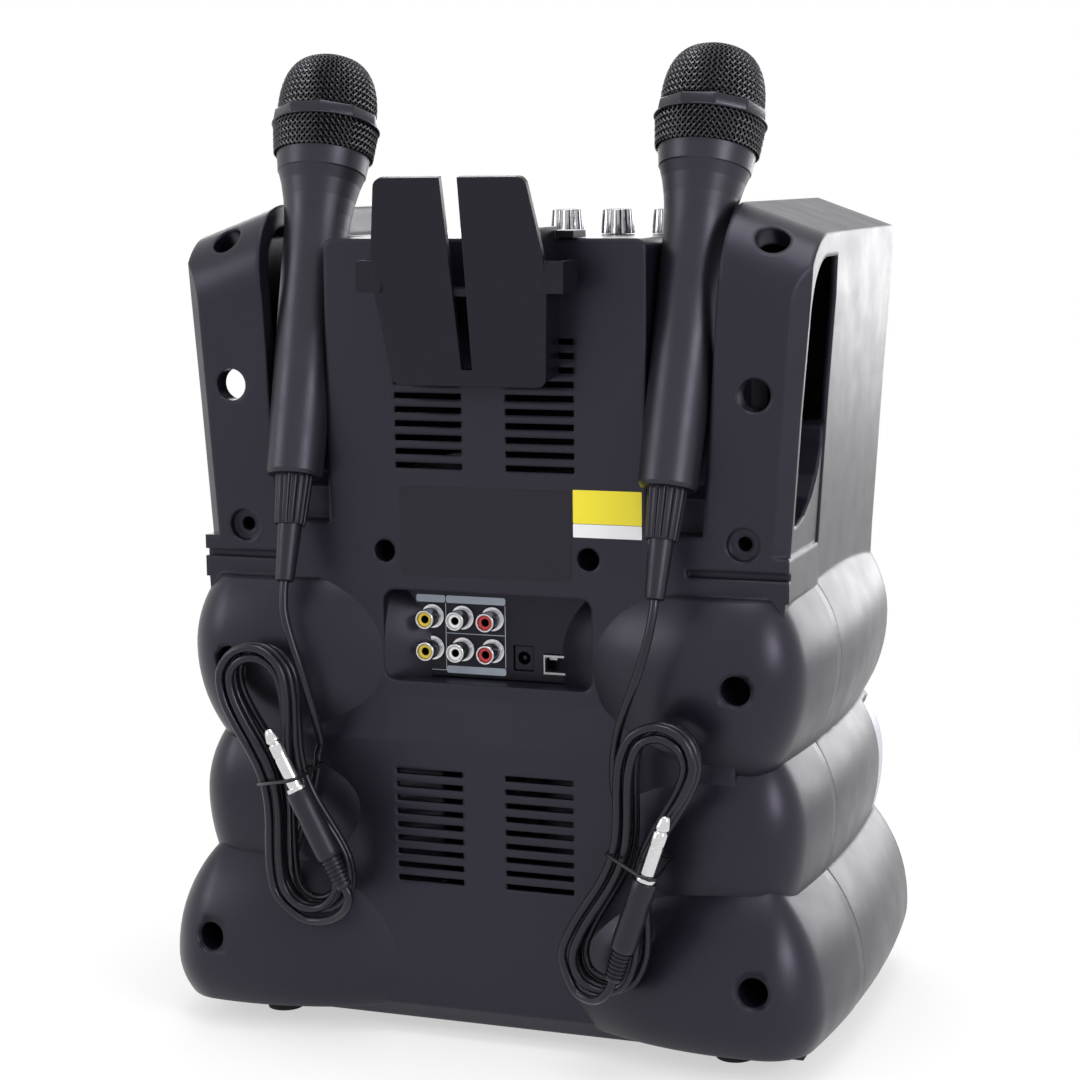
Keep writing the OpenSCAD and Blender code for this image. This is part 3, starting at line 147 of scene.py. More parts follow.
class Surface(Nodes):
    """Nodes of a material, round one shader."""

    def __init__(self, name: str) -> None:
        """Start a plain material.

        Args:
            name: the material's name.
        """
        self.material = bpy.data.materials.new(name)
        super().__init__(self.material)
        self.shader = self.add("BsdfPrincipled")
        self.out = self.add("OutputMaterial", self.shader.outputs["BSDF"])
        self.coords = self.add("TexCoord").outputs["Object"]

    def noise(self, scale: float, detail: float = 3.0, stretch: Point = (1, 1, 1)) -> Socket:
        """Noise on object coordinates.

        Args:
            scale: waves to the metre.
            detail: octaves.
            stretch: scale along each axis.

        Returns:
            The noise factor.
        """
        mapping = self.add("Mapping", self.coords, values={"Scale": stretch})
        values = {"Scale": scale, "Detail": detail}
        return self.add("TexNoise", mapping.outputs["Vector"], values=values).outputs["Fac"]

    def ranged(self, source: Socket, low: float, high: float) -> Socket:
        """Spread the middle part of a factor from a low to a high value."""
        values = {"From Min": 0.3, "From Max": 0.7, "To Min": low, "To Max": high}
        return self.add("MapRange", source, values=values).outputs["Result"]

    def blend(self, factor: Socket, low: Point, high: Point) -> Socket:
        """Mix two colours by the second one's share."""
        values = {"A": (*low, 1), "B": (*high, 1)}
        return self.add("Mix", factor, values=values, data_type="RGBA").outputs["Result"]

    def relief(self, height: Socket, depth: float, strength: float, edge: float) -> None:
        """Raise the surface and soften its edges.

        Args:
            height: height factor.
            depth: height of the relief in metres.
            strength: how far it counts.
            edge: radius of softened edges in metres, or 0.
        """
        bump = self.add("Bump", values={"Distance": depth, "Strength": strength})
        self.link(height, bump.inputs["Height"])
        if edge > 0:
            bevel = self.add("Bevel", values={"Radius": edge}, samples=6)
            self.link(bevel.outputs["Normal"], bump.inputs["Normal"])
        self.link(bump.outputs["Normal"], self.shader.inputs["Normal"])


@dataclass(frozen=True)
class Finish:
    """Two shades in patches, gloss with handling marks, a fine relief and soft edges."""

    name: str
    dark: Colour
    pale: Colour
    gloss: Pair
    grain: float = 2600.0
    patches: float = 22.0
    wear: float = 60.0
    details: Spot = (4, 5, 2)
    stretch: Spot = (1, 1, 1)
    depth: float = 0.00012
    strength: float = 0.35
    edge: float = 0.0
    metallic: float = 0.0
    clear: float = 0.0
    specular: float = 0.5
    tint: Colour = WHITE

    def build(self) -> bpy.types.Material:
        """Make the material.

        Returns:
            The finished material.
        """
        nodes = Surface(self.name)
        shade = nodes.noise(self.patches, self.details[0], self.stretch)
        marks = nodes.noise(self.wear, self.details[1])
        nodes.link(nodes.blend(shade, self.dark, self.pale), nodes.shader.inputs["Base Color"])
        nodes.link(nodes.ranged(marks, *self.gloss), nodes.shader.inputs["Roughness"])
        for key, value in (
            ("Metallic", self.metallic), ("Transmission Weight", self.clear),
            ("Specular IOR Level", self.specular), ("Specular Tint", (*self.tint, 1)),
        ):
            nodes.shader.inputs[key].default_value = value
        grain = nodes.noise(self.grain, self.details[2], self.stretch)
        nodes.relief(grain, self.depth, self.strength, self.edge)
        return nodes.material


@dataclass(frozen=True)
class Plastic(Finish):
    """Moulded plastic, rubber or paint."""

    specular: float = 0.4
    tint: Colour = (0.86, 0.81, 1.0)


@dataclass(frozen=True)
class Paper(Plastic):
    """Printed paper or a coloured insert."""

    strength: float = 0.1
    tint: Colour = WHITE


@dataclass(frozen=True)
class Metal(Finish):
    """Plated, brushed or painted metal."""

    grain: float = 900.0
    patches: float = 900.0
    wear: float = 120.0
    details: Spot = (2, 4, 2)
    depth: float = 0.00003
    strength: float = 0.2
    metallic: float = 1.0


@dataclass(frozen=True)
class Glazing(Finish):
    """Clear or frosted window."""

    grain: float = 900.0
    patches: float = 30.0
    wear: float = 80.0
    details: Spot = (3, 3, 3)
    depth: float = 0.00005
    strength: float = 0.1


FINISHES = {
    "shell": Plastic(
        "charcoal_shell", (0.0052, 0.0047, 0.009), (0.0085, 0.0078, 0.0135), (0.3, 0.38), edge=0.0026),
    "trim": Plastic(
        "black_trim", (0.003, 0.003, 0.005), (0.005, 0.005, 0.008), (0.3, 0.38), edge=0.0008, specular=0.3),
    "deck": Plastic("deck_black", (0.003, 0.003, 0.0045), (0.005, 0.005, 0.007), (0.2, 0.28), edge=0.0006),
    "lens": Glazing("frosted_lens", (0.648, 0.63, 0.72), (0.72, 0.7, 0.8), (0.3, 0.45), clear=0.5),
    "knob": Metal("knob_chrome", (0.3, 0.3, 0.32), (0.48, 0.48, 0.5), (0.1, 0.2), edge=0.0002),
    "window": Glazing("screen_glass", (0.072, 0.0765, 0.09), (0.08, 0.085, 0.1), (0.03, 0.06), clear=0.85),
    "screen": Plastic(
        "dark_display", (0.003, 0.003, 0.006), (0.005, 0.005, 0.009), (0.08, 0.15), strength=0.05),
    "board": Plastic(
        "board_green", (0.012, 0.09, 0.035), (0.02, 0.12, 0.05), (0.35, 0.5), grain=500, tint=WHITE),
    "metal": Metal("zinc_plate", (0.3, 0.3, 0.32), (0.42, 0.43, 0.45), (0.28, 0.4), stretch=(1, 8, 1)),
    "button": Plastic("button_grey", (0.03, 0.03, 0.034), (0.045, 0.045, 0.05), (0.3, 0.4), edge=0.0005),
    "power": Plastic(
        "power_red", (0.2, 0.012, 0.012), (0.28, 0.02, 0.02), (0.25, 0.35), edge=0.0005, tint=WHITE),
    "tray": Plastic("tray_grey", (0.014, 0.014, 0.017), (0.02, 0.02, 0.024), (0.35, 0.45), edge=0.0005),
    "gear": Plastic(
        "gear_white", (0.58, 0.55, 0.45), (0.68, 0.65, 0.55), (0.35, 0.5), grain=900, tint=WHITE),
    "grille": Metal("grille_black", (0.012, 0.012, 0.014), (0.02, 0.02, 0.023), (0.35, 0.45), edge=0.0003),
    "cone": Plastic(
        "cone_paper", (0.012, 0.012, 0.013), (0.03, 0.03, 0.032), (0.7, 0.85), grain=700, strength=0.6),
    "phono": Metal("socket_plate", (0.5, 0.5, 0.52), (0.66, 0.66, 0.68), (0.14, 0.24), edge=0.0002),
    "foot": Plastic(
        "foot_rubber", (0.008, 0.008, 0.008), (0.014, 0.014, 0.014), (0.7, 0.85), grain=1500, strength=0.5),
    "mesh": Metal("mesh_wire", (0.05, 0.05, 0.056), (0.12, 0.12, 0.13), (0.25, 0.38)),
    "ring": Plastic(
        "ring_black", (0.004, 0.004, 0.006), (0.007, 0.007, 0.01), (0.16, 0.24), edge=0.0006, specular=0.5),
    "grip": Plastic(
        "grip_black", (0.006, 0.006, 0.009), (0.01, 0.01, 0.014), (0.32, 0.42), edge=0.0005, specular=0.5),
    "relief": Plastic(
        "relief_rubber", (0.005, 0.005, 0.007), (0.009, 0.009, 0.012), (0.3, 0.4), grain=1800),
    "cord": Plastic(
        "cord_sheath", (0.005, 0.005, 0.007), (0.009, 0.009, 0.012), (0.22, 0.32), grain=1500, strength=0.2),
    "tie": Plastic("tie_wire", (0.005, 0.005, 0.006), (0.009, 0.009, 0.01), (0.25, 0.35)),
    "plug": Metal("plug_nickel", (0.55, 0.55, 0.56), (0.7, 0.7, 0.71), (0.08, 0.16), edge=0.0001),
    "foam": Plastic(
        "foam_black", (0.003, 0.003, 0.003), (0.008, 0.008, 0.008), (0.9, 1.0), grain=900,
        strength=0.8, specular=0.1),
    "bare_label": Plastic(
        "bare_label", (0.003, 0.003, 0.004), (0.005, 0.005, 0.006), (0.18, 0.26), strength=0.08),
    "yellow_paper": Paper("yellow_paper", (0.72, 0.6, 0.02), (0.8, 0.68, 0.03), (0.4, 0.5)),
    "white_paper": Paper("white_paper", (0.7, 0.7, 0.71), (0.78, 0.78, 0.79), (0.4, 0.5)),
    "print_grey": Paper("print_grey", (0.33, 0.38, 0.45), (0.4, 0.45, 0.52), (0.4, 0.5), strength=0.05),
    "socket_yellow": Paper("socket_yellow", (0.5, 0.36, 0.03), (0.6, 0.44, 0.04), (0.3, 0.4)),
    "socket_white": Paper("socket_white", (0.6, 0.6, 0.6), (0.7, 0.7, 0.7), (0.3, 0.4)),
    "socket_red": Paper("socket_red", (0.34, 0.02, 0.025), (0.44, 0.03, 0.035), (0.3, 0.4)),
    # Near-black matte lining for the socket pits: painted shade, standing in for the shade deep in the
    # holes.
    "painted_hole_shade": Plastic(
        "painted_hole_shade", (0.002, 0.002, 0.002), (0.004, 0.004, 0.004), (0.8, 0.9), strength=0.1, specular=0.1),
}


def placed(name: str, data: bpy.types.ID) -> bpy.types.Object:
    """Put an object in the scene.

    Args:
        name: its name.
        data: its mesh, curve, lamp or camera.

    Returns:
        The object.
    """
    thing = bpy.data.objects.new(name, data)
    bpy.context.scene.collection.objects.link(thing)
    return thing


def meshed(name: str, shape: Shape) -> bpy.types.Object:
    """Put a built shape in the scene.

    Args:
        name: its name.
        shape: the shape, freed here.

    Returns:
        The object.
    """
    data = bpy.data.meshes.new(name)
    shape.to_mesh(data)
    shape.free()
    return placed(name, data)


class Dresser:
    """Makes each finish once and puts pieces on their bodies."""

    def __init__(self) -> None:
        """Start with no finish made."""
        self.made: dict[str, bpy.types.Material] = {}
        self.sharp = 35.0

    def finish(self, key: str) -> bpy.types.Material:
        """Give a finish, made at first use.

        Args:
            key: name of the finish.

        Returns:
            Its material.
        """
        if key not in self.made:
            self.made[key] = FINISHES[key].build()
        return self.made[key]

    def piece(
        self, name: str, mesh: Shape, body: str, slot: str, finish: str = "",
        place: Matrix | None = None, flat: bool = False, hides: Sequence[str] = (),
    ) -> bpy.types.Object:
        """Turn a built shape into a piece of the machine.

        Args:
            name: the piece's name.
            mesh: its shape, freed here.
            body: the body that it rides on.
            slot: the material slot that it belongs to.
            finish: its finish, where that isn't the slot's own.
            place: matrix into scene metres, or None for datum millimetres.
            flat: True for hard-faced pieces.
            hides: solids that the piece stands for.

        Returns:
            The object.
        """
        bmesh.ops.transform(mesh, matrix=place or datum_matrix(), verts=mesh.verts)
        bmesh.ops.remove_doubles(mesh, verts=mesh.verts, dist=1e-7)
        bmesh.ops.recalc_face_normals(mesh, faces=mesh.faces)
        piece = meshed(name, mesh)
        if not flat:
            piece.data.shade_smooth()
            piece.data.set_sharp_from_angle(angle=math.radians(self.sharp))
        self.settle(piece, body, slot, finish, hides)
        return piece

    def settle(
        self, piece: bpy.types.Object, body: str, slot: str, finish: str, hides: Sequence[str],
    ) -> None:
        """Give a piece its finish and body, and hide the solids that it stands for.

        Args:
            piece: the piece.
            body: the body that it rides on.
            slot: the material slot that it belongs to.
            finish: its finish, where that isn't the slot's own.
            hides: solids that it stands for.
        """
        piece.data.materials.append(self.finish(finish or slot))
        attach(piece, body)
        if hides:
            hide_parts(*hides)

    def strand(
        self, name: str, points: Sequence[Vector], radius: float, body: str, slot: str,
        hides: Sequence[str] = (), closed: bool = False,
    ) -> bpy.types.Object:
        """Lay a round strand along points.

        Args:
            name: the piece's name.
            points: the centreline in scene metres.
            radius: the strand's radius in metres.
            body: the body that it rides on.
            slot: its material slot.
            hides: solids that it stands for.
            closed: True for a ring.

        Returns:
            The curve object.
        """
        curve = bpy.data.curves.new(name, "CURVE")
        curve.dimensions = "3D"
        curve.bevel_depth = radius
        curve.bevel_resolution = 4
        curve.use_fill_caps = True
        spline = curve.splines.new("POLY")
        spline.points.add(len(points) - 1)
        for knot, p in zip(spline.points, points):
            knot.co = (*p, 1)
        spline.use_cyclic_u = closed
        spline.use_smooth = True
        piece = placed(name, curve)
        self.settle(piece, body, slot, "", hides)
        return piece


def facing_rear(place: Point) -> Matrix:
    """Matrix of a turned piece whose foot lies here and that points out of the rear panel."""
    return datum_matrix() @ Matrix.Translation(place) @ Matrix.Rotation(-math.pi / 2, 4, "X")


def revolved(profile: Profile, steps: int = 64) -> Shape:
    """Spin a profile round the Z axis.

    Args:
        profile: radius and height of each point, from one end to the other.
        steps: faces round the axis.

    Returns:
        The turned shape.
    """
    shape = bmesh.new()
    verts = [shape.verts.new((r, 0, z)) for r, z in profile]
    edges = [shape.edges.new(pair) for pair in zip(verts, verts[1:])]
    bmesh.ops.spin(
        shape, geom=verts + edges, cent=(0, 0, 0), axis=(0, 0, 1), angle=math.tau, steps=steps,
        use_merge=True, use_duplicate=False)
    bmesh.ops.remove_doubles(shape, verts=shape.verts, dist=1e-5)
    return shape


def rounded_plate(box: tuple[float, float, float, float], y: float, thick: float, corner: float) -> Shape:
    """Build a thin plate with rounded corners that lies on the rear panel.

    Args:
        box: X and Z of its low corner, then of its high corner.
        y: depth of the face that it lies on.
        thick: how far it stands out.
        corner: corner radius.

    Returns:
        The plate.
    """
    shape = bmesh.new()
    x0, z0, x1, z1 = box
    size = Matrix.Translation(((x0 + x1) / 2, y, (z0 + z1) / 2)) @ Matrix.Rotation(math.pi / 2, 4, "X")
    size = size @ Matrix.Diagonal((x1 - x0, z1 - z0, 1, 1))
    bmesh.ops.create_grid(shape, x_segments=1, y_segments=1, size=0.5, matrix=size)
    bmesh.ops.bevel(
        shape, geom=shape.verts[:], offset=corner, segments=5, profile=0.5, affect="VERTICES",
        material=-1, offset_type="OFFSET")
    grown = bmesh.ops.extrude_face_region(shape, geom=shape.faces[:])["geom"]
    outer = [v for v in grown if isinstance(v, bmesh.types.BMVert)]
    bmesh.ops.translate(shape, verts=outer, vec=(0, thick, 0))
    return shape


@dataclass
class Camera:
    """The photograph's camera, fitted to points of the object."""

    azimuth: float = 19.92
    elevation: float = 8.57
    roll: float = -0.65
    focus: float = 2445.0
    frame: float = 1080.0
    sensor: float = 36.0
    near: float = 0.02
    place: Spot = (-367.6, 946.1, 371.7)

    def build(self) -> None:
        """Set up the scene's camera."""
        az, el, roll = (math.radians(a) for a in (self.azimuth, self.elevation, self.roll))
        back = Vector((-math.sin(az) * math.cos(el), math.cos(az) * math.cos(el), math.sin(el)))
        right = Vector((0, 0, 1)).cross(back).normalized()
        up = back.cross(right)
        turned_right = math.cos(roll) * right + math.sin(roll) * up
        turned_up = math.cos(roll) * up - math.sin(roll) * right
        data = bpy.data.cameras.new("photo_camera")
        data.sensor_width = self.sensor
        data.lens = self.sensor * self.focus / self.frame
        data.clip_start = self.near
        camera = placed("photo_camera", data)
        turn = Matrix((turned_right, turned_up, back)).transposed().to_4x4()
        camera.matrix_world = Matrix.Translation(spot(*self.place)) @ turn
        bpy.context.scene.camera = camera


@dataclass
class Studio:
    """Pale floor, soft boxes and a plain bright surround.

    Each box has its name, its place and aim in metres, its width and its watts.
    """

    floor: Colour = (0.9, 0.9, 0.91)
    floor_half: float = 4.0
    surround: float = 0.75
    fade: tuple[tuple[str, float], ...] = (
        ("From Min", 0.1), ("From Max", 0.65), ("To Min", 0.55), ("To Max", 1.0))
    boxes: tuple[tuple[str, Spot, Spot, float, float], ...] = (
        ("box_right", (-1.6, 0.9, 0.8), (0, 0.05, 0.2), 0.7, 12),
        ("box_left", (1.7, 1.2, 1.0), (0, 0.05, 0.2), 0.8, 9),
        ("box_top", (-0.1, 0.2, 1.7), (0, 0, 0.2), 1.0, 12),
        ("box_side", (-1.0, -2.4, 0.5), (-0.1, 0, 0.2), 1.6, 32),
        ("box_front", (0.9, -1.8, 0.9), (0, 0, 0.2), 1.0, 10),
    )

    def whiten(self, nodes: Surface) -> None:
        """Let the floor melt into the white surround away from the machine.

        Args:
            nodes: the floor's material.
        """
        rays = nodes.add("LightPath").outputs
        glow = nodes.add("Emission").outputs["Emission"]
        far = nodes.add("VectorMath", nodes.coords, operation="LENGTH").outputs["Value"]
        fade = nodes.add("MapRange", far, values=dict(self.fade), interpolation_type="SMOOTHSTEP")
        seen = nodes.add("Math", rays["Is Camera Ray"], rays["Is Glossy Ray"], operation="MAXIMUM")
        share = nodes.add("Math", seen.outputs[0], fade.outputs["Result"], operation="MULTIPLY").outputs[0]
        mix = nodes.add("MixShader", share, nodes.shader.outputs["BSDF"], glow)
        nodes.link(mix.outputs[0], nodes.out.inputs["Surface"])

    def sky(self) -> None:
        """Make the surround: white where it is seen or mirrored, softer where it lights."""
        world = bpy.data.worlds.new("surround")
        bpy.context.scene.world = world
        nodes = Nodes(world)
        rays = nodes.add("LightPath").outputs
        total = rays["Is Camera Ray"]
        for other in ("Is Glossy Ray", "Is Transmission Ray"):
            total = nodes.add("Math", total, rays[other], operation="MAXIMUM").outputs[0]
        shades = [
            nodes.add("Background", values={"Color": (*WHITE, 1), "Strength": strength}).outputs[0]
            for strength in (self.surround, 1.0)]
        nodes.add("OutputWorld", nodes.add("MixShader", total, *shades).outputs[0])

    def lay_floor(self) -> None:
        """Lay the pale floor."""
        shape = bmesh.new()
        bmesh.ops.create_grid(shape, x_segments=1, y_segments=1, size=self.floor_half)
        nodes = Surface("floor_paper")
        pale = tuple(min(1.0, c * 1.02) for c in self.floor)
        nodes.link(nodes.blend(nodes.noise(3), self.floor, pale), nodes.shader.inputs["Base Color"])
        nodes.shader.inputs["Roughness"].default_value = 0.9
        nodes.shader.inputs["Specular IOR Level"].default_value = 0.1
        self.whiten(nodes)
        floor = meshed("studio_floor", shape)
        floor.data.materials.append(nodes.material)

    def build(self) -> None:
        """Set the stage."""
        self.sky()
        self.lay_floor()
        for name, place, aim, width, watts in self.boxes:
            data = bpy.data.lights.new(name, "AREA")
            data.shape = "SQUARE"
            data.size = width
            data.energy = watts
            lamp = placed(name, data)
            lamp.location = place
            lamp.rotation_euler = (Vector(place) - Vector(aim)).to_track_quat("Z", "Y").to_euler()
        bpy.context.scene.view_settings.view_transform = "Standard"


@dataclass
class Lobe:
    """One rounded lobe of the rear cover."""

    low: float
    high: float
    widest: float
    upper_r: float
    lower_r: float
    half_w: float
    bulge: float
    rear_x: float
    rear_r: float
    corner_r: float
    bow_r: float = 700.0
    bow_y: float = -85.0
    seam: float = -50.0
    proud: float = 0.3
    profile_steps: int = 14
    turn_steps: tuple[int, int, int] = (8, 18, 24)
    overlap: float = 20.0

    def draw_in(self, z: float) -> float:
        """How far the outline is drawn in at a height."""
        r = self.upper_r if z > self.widest else self.lower_r
        return r - math.sqrt(max(0.0, r * r - (z - self.widest) ** 2))

    def heights(self) -> list[float]:
        """Heights of the profile's points, closer where it curves most.

        Returns:
            The heights from low to high.
        """
        quarters = [math.pi / 2 * i / self.profile_steps for i in range(self.profile_steps + 1)]
        below = [self.widest - (self.widest - self.low) * math.cos(a) for a in quarters[:-1]]
        return below + [self.widest + (self.high - self.widest) * math.sin(a) for a in quarters]

    def centres(self) -> tuple[Vector, Vector, Vector]:
        """Centres of the outline's arcs, seen from above.

        Returns:
            The centres of the side bow, the corner and the rear arc.
        """
        side = Vector((self.half_w - self.bow_r, self.bow_y, 0))
        rear = Vector((self.rear_x, self.bulge - self.rear_r, 0))
        ra, rb = self.bow_r - self.corner_r, self.rear_r - self.corner_r
        gap = (rear - side).length
        along = (rear - side) / gap
        reach = (gap * gap + ra * ra - rb * rb) / (2 * gap)
        rise = math.sqrt(ra * ra - reach * reach)
        across = Vector((-along.y, along.x, 0)) * rise
        foot = side + along * reach
        corner = foot + across if (foot + across).y > (foot - across).y else foot - across
        return side, corner, rear

    def build(self, side: Side) -> Shape:
        """Sweep the lobe's profile round its side, corner and rear.

        Args:
            side: the side that it is on.

        Returns:
            The skin in datum millimetres.
        """
        bow, corner, rear = self.centres()
        to_side = math.asin((self.seam - self.bow_y) / self.bow_r)
        to_corner = math.atan2(corner.y - bow.y, corner.x - bow.x)
        to_rear = math.atan2(corner.y - rear.y, corner.x - rear.x)
        shape = bmesh.new()
        verts = []
        for z in self.heights():
            r = self.bow_r - self.draw_in(z) + self.proud
            verts.append(shape.verts.new((bow.x + r * math.cos(to_side), bow.y + r * math.sin(to_side), z)))
        geom = verts + [shape.edges.new(pair) for pair in zip(verts, verts[1:])]
        last = math.pi / 2 + math.asin((self.rear_x - self.overlap) / self.rear_r)
        turns = (to_corner - to_side, to_rear - to_corner, last - to_rear)
        for centre, angle, steps in zip((bow, corner, rear), turns, self.turn_steps):
            done = bmesh.ops.spin(
                shape, geom=geom, cent=centre, axis=(0, 0, 1), angle=angle, steps=steps,
                use_duplicate=False)
            geom = done["geom_last"]
        bmesh.ops.remove_doubles(shape, verts=shape.verts, dist=1e-4)
        cuts = (((0, self.seam + 0.05, 0), (0, -1, 0), True), ((0, -3, 0), (0.15, -1, 0), False))
        for point, normal, trim in cuts:
            whole = shape.verts[:] + shape.edges[:] + shape.faces[:]
            bmesh.ops.bisect_plane(shape, geom=whole, plane_co=point, plane_no=normal, clear_outer=trim)
        bmesh.ops.transform(shape, matrix=side.mirror, verts=shape.verts)
        return shape


@dataclass
class Maker:
    """Maker of pieces, with the dresser that gives them their looks."""

    dresser: Dresser


@dataclass
class RearCover(Maker):
    """Smooth skins over the lobes of the rear cover."""

    lobes: tuple[Lobe, ...] = (
        Lobe(11.5, 79.5, 29.5, 69.61, 30.0, 153, 24.5, 112, 140, 26),
        Lobe(69.5, 135, 100.5, 50.54, 86.5, 140.5, 10, 100, 180, 22),
        Lobe(125, 199.5, 167.5, 50.27, 69.4, 142, 16, 108, 120, 24),
    )
    holes: tuple[Pair, ...] = ((113, 164.3), (122.4, 41.6))
    hole_r: float = 6.25
    reach: float = 60.0
    skin: float = 0.6

    def build(self) -> None:
        """Make the six skins with their screw holes."""
        for side in Side:
            for number, lobe in enumerate(self.lobes, 1):
                skin = self.dresser.piece(
                    f"lobe_skin_{side.word}_{number}", lobe.build(side), CONSOLE, "shell")
                thick = skin.modifiers.new("thickness", "SOLIDIFY")
                thick.thickness = self.skin * MM
                thick.offset = -1
                for x, z in self.holes:
                    if lobe.low < z < lobe.high:
                        self.drill(skin, x * side.value, z)

    def drill(self, skin: bpy.types.Object, x: float, z: float) -> None:
        """Cut a screw hole through a skin.

        Args:
            skin: the skin.
            x: the hole's distance from the middle plane.
            z: its height.
        """
        reach, r = self.reach, self.hole_r
        cutter = revolved([(0, -reach), (r, -reach), (r, reach), (0, reach)], 48)
        bmesh.ops.transform(cutter, matrix=facing_rear((x, 0, z)), verts=cutter.verts)
        bmesh.ops.recalc_face_normals(cutter, faces=cutter.faces)
        tool = meshed("drill", cutter)
        cut = skin.modifiers.new("hole", "BOOLEAN")
        cut.operation = "DIFFERENCE"
        cut.solver = "EXACT"
        cut.object = tool
        bpy.context.view_layer.update()
        graph = bpy.context.evaluated_depsgraph_get()
        solid = bpy.data.meshes.new_from_object(skin.evaluated_get(graph))
        skin.modifiers.clear()
        skin.data = solid
        bpy.data.objects.remove(tool)


@dataclass
class LensFaces(Maker):
    """Frosted faces of the side lights, in the notches of the front."""

    inner_x: float = 101.4
    low: float = 76.9
    high: float = 126.1
    back_y: float = -160.2
    depth: float = 3.6
    inset: float = 5.2
    soften: float = 0.8

    def build(self) -> None:
        """Make the face of each side light."""
        lobe, steps = RearCover.lobes[1], 14
        for side in Side:
            shape = bmesh.new()
            heights = [self.low + (self.high - self.low) * i / steps for i in range(steps + 1)]
            outer = [(lobe.half_w - lobe.draw_in(z) - self.inset, z) for z in heights]
            rim = [(self.inner_x, self.low), *outer, (self.inner_x, self.high)]
            shape.faces.new([shape.verts.new((x, self.back_y, z)) for x, z in rim])
            grown = bmesh.ops.extrude_face_region(shape, geom=shape.faces[:])["geom"]
            moved = [v for v in grown if isinstance(v, bmesh.types.BMVert)]
            bmesh.ops.translate(shape, verts=moved, vec=(0, -self.depth, 0))
            front = [e for e in shape.edges if all(v in moved for v in e.verts)]
            bmesh.ops.bevel(
                shape, geom=front, offset=self.soften, segments=3, profile=0.5, affect="EDGES", material=-1)
            place = datum_matrix() @ side.mirror
            self.dresser.piece(f"lens_face_{side.word}", shape, CONSOLE, "lens", place=place)


@dataclass
class Labels(Maker):
    """Bare places for the rating label and two stickers: name, box, thickness, corner, finish."""

    rows: tuple[tuple, ...] = (
        ("bare_plate", (-38.5, 202.6, 38.5, 240.9), 0.12, 2.0, "bare_label"),
        ("bare_sticker_wide", (-69.2, 227.6, -39.4, 241.6), 0.14, 0.4, "yellow_paper"),
        ("bare_sticker_slim", (-69.2, 221.8, -39.4, 227.4), 0.14, 0.3, "white_paper"),
    )

    def build(self) -> None:
        """Lay the bare places on the rear panel."""
        for name, box, thick, corner, finish in self.rows:
            self.dresser.piece(name, rounded_plate(box, LIFT, thick, corner), CONSOLE, "shell", finish)


@dataclass
class Sockets(Maker):
    """Six phono sockets with coloured inserts, in their printed fields."""

    columns: tuple[tuple[float, str], ...] = (
        (29.5, "socket_yellow"), (15.7, "socket_white"), (1.9, "socket_red"))
    rows: tuple[float, ...] = (182.9, 169.0)
    ring_r: float = 4.15
    plate_y: float = -13.0
    ink: float = 0.08
    prints: tuple[tuple, ...] = (
        ("band_top_1", 23.6, 189.0, 37.0, 192.2), ("band_top_2", -4.0, 189.0, 23.2, 192.2),
        ("band_low_2", -4.0, 158.4, 23.2, 161.6), ("frame_side_1", 36.7, 159.4, 37.0, 188.9),
        ("frame_side_2", 23.25, 159.4, 23.55, 189.0), ("frame_side_3", -4.0, 161.7, -3.7, 188.9),
        ("frame_low_1", 23.6, 159.4, 36.6, 159.7), ("frame_mid_2", -3.6, 175.7, 23.2, 176.0),
    )

    def build(self) -> None:
        """Turn each socket and print the fields behind them."""
        ring = [
            (3.2, 0), (3.2, 9.6), (3.4, 10), (3.9, 10), (self.ring_r, 9.7), (self.ring_r, 0.4),
            (5.2, 0.3), (5.2, 0)]
        insert = [(3.2, 2), (3.2, 8.8), (2.9, 9.2), (1.9, 9.2), (1.75, 9.0), (1.75, 8.6), (1.7, 3), (0, 3)]
        pit = [(1.74, 8.9), (1.6, 8.9), (1.6, 3.4), (0, 3.4)]
        for x, finish in self.columns:
            for row, z in enumerate(self.rows, 1):
                tag = f"{finish.split('_')[1]}_{row}"
                place = facing_rear((x, self.plate_y, z))
                hides = ("phono_sockets",) if row == 1 and finish == "socket_yellow" else ()
                # The pit is lined with painted shade: a dark sheet where the hole only has shade.
                for part, profile, steps, look in (
                    ("ring", ring, 40, ""), ("insert", insert, 32, finish), ("pit", pit, 24, "painted_hole_shade"),
                ):
                    self.dresser.piece(
                        f"phono_{part}_{tag}", revolved(profile, steps), CONSOLE, "phono", look, place,
                        hides=hides if part == "ring" else ())
        self.fields()

    def fields(self) -> None:
        """Print the bare bands and thin frames round the sockets."""
        for name, *box in self.prints:
            corner = min(1.0, (box[2] - box[0]) * 0.3, (box[3] - box[1]) * 0.3)
            shape = rounded_plate(box, self.plate_y + LIFT, self.ink, corner)
            self.dresser.piece(f"print_{name}", shape, CONSOLE, "shell", "print_grey")


